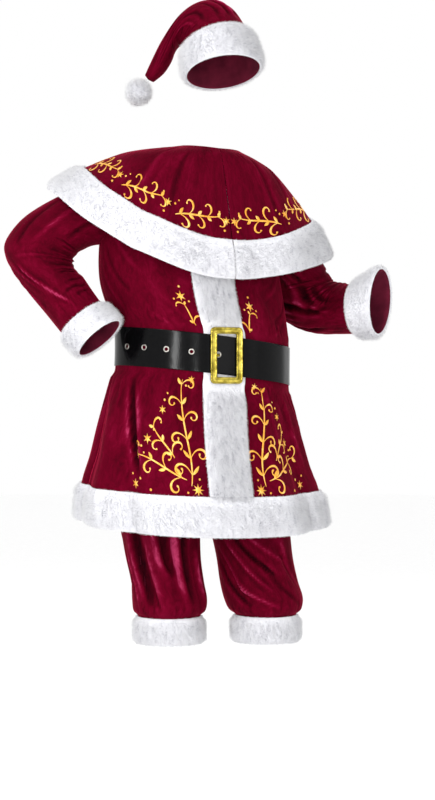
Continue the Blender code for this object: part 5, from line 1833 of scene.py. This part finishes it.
class SantaStageSettings(bpy.types.PropertyGroup):
    """The studio."""

    surroundings: bpy.props.FloatProperty(
        name="Surroundings", description="Strength of the white surroundings", default=1.0, min=0.0)
    key_power: bpy.props.FloatProperty(
        name="Key light", description="Power of the main lamp", default=37.0, min=0.0, unit="POWER")


class SuitStep:
    """Runs the functions in `steps`, each with the groups of settings that are named after it."""

    def execute(self, context):
        for make, *groups in self.steps:
            make(*(getattr(context.scene, group) for group in groups))
        return {"FINISHED"}


class SANTA_OT_stage(SuitStep, bpy.types.Operator):
    """Make the studio: floor, lamps and camera"""

    bl_idname = "santa.stage"
    bl_label = "Studio"
    steps = [(make_stage, "santa_stage")]


class SANTA_OT_coat(SuitStep, bpy.types.Operator):
    """Make the coat's fronts, back and sleeves"""

    bl_idname = "santa.coat"
    bl_label = "Coat"
    steps = [(make_coat, "santa_cloth")]


class SANTA_OT_cape(SuitStep, bpy.types.Operator):
    """Make the shoulder cape"""

    bl_idname = "santa.cape"
    bl_label = "Cape"
    steps = [(make_cape, "santa_cloth")]


class SANTA_OT_trousers(SuitStep, bpy.types.Operator):
    """Make the trousers and their waistband"""

    bl_idname = "santa.trousers"
    bl_label = "Trousers"
    steps = [(make_trousers, "santa_cloth")]


class SANTA_OT_fur(SuitStep, bpy.types.Operator):
    """Make the fur trims of coat, cape and trousers"""

    bl_idname = "santa.fur"
    bl_label = "Fur trims"
    steps = [(make_fur_trims, "santa_fur")]


class SANTA_OT_print(SuitStep, bpy.types.Operator):
    """Make the gold print"""

    bl_idname = "santa.print"
    bl_label = "Gold print"
    steps = [(make_print, "santa_print", "santa_cloth")]


class SANTA_OT_belt(SuitStep, bpy.types.Operator):
    """Make the belt, its eyelets and its buckle"""

    bl_idname = "santa.belt"
    bl_label = "Belt"
    steps = [(make_strap,), (make_eyelets,), (make_buckle,)]


class SANTA_OT_hat(SuitStep, bpy.types.Operator):
    """Make the hat with its fur band and ball"""

    bl_idname = "santa.hat"
    bl_label = "Hat"
    steps = [(make_hat_crown, "santa_cloth"), (make_hat_fur, "santa_fur")]


OPERATORS = (SANTA_OT_stage, SANTA_OT_coat, SANTA_OT_cape, SANTA_OT_trousers, SANTA_OT_fur,
             SANTA_OT_print, SANTA_OT_belt, SANTA_OT_hat)
SETTINGS = {
    "santa_cloth": SantaClothSettings,
    "santa_fur": SantaFurSettings,
    "santa_print": SantaPrintSettings,
    "santa_stage": SantaStageSettings,
}


class SANTA_PT_panel(bpy.types.Panel):
    """The suit's settings and pieces"""

    bl_idname = "SANTA_PT_panel"
    bl_label = "Santa suit"
    bl_space_type = "VIEW_3D"
    bl_region_type = "UI"
    bl_category = "Santa suit"

    def draw(self, context):
        for name, group in SETTINGS.items():
            box = self.layout.box()
            for key in group.__annotations__:
                box.prop(getattr(context.scene, name), key)
        for operator in OPERATORS:
            self.layout.operator(operator.bl_idname)


def register():
    for name, group in SETTINGS.items():
        bpy.utils.register_class(group)
        setattr(bpy.types.Scene, name, bpy.props.PointerProperty(type=group))
    for entry in (*OPERATORS, SANTA_PT_panel):
        bpy.utils.register_class(entry)


def unregister():
    for entry in (SANTA_PT_panel, *reversed(OPERATORS)):
        bpy.utils.unregister_class(entry)
    for name, group in SETTINGS.items():
        delattr(bpy.types.Scene, name)
        bpy.utils.unregister_class(group)


def main():
    register()
    bpy.ops.santa.stage()
    bpy.ops.santa.coat()
    bpy.ops.santa.cape()
    bpy.ops.santa.trousers()
    bpy.ops.santa.fur()
    bpy.ops.santa.print()
    bpy.ops.santa.belt()
    bpy.ops.santa.hat()


if __name__ == "__main__":
    main()
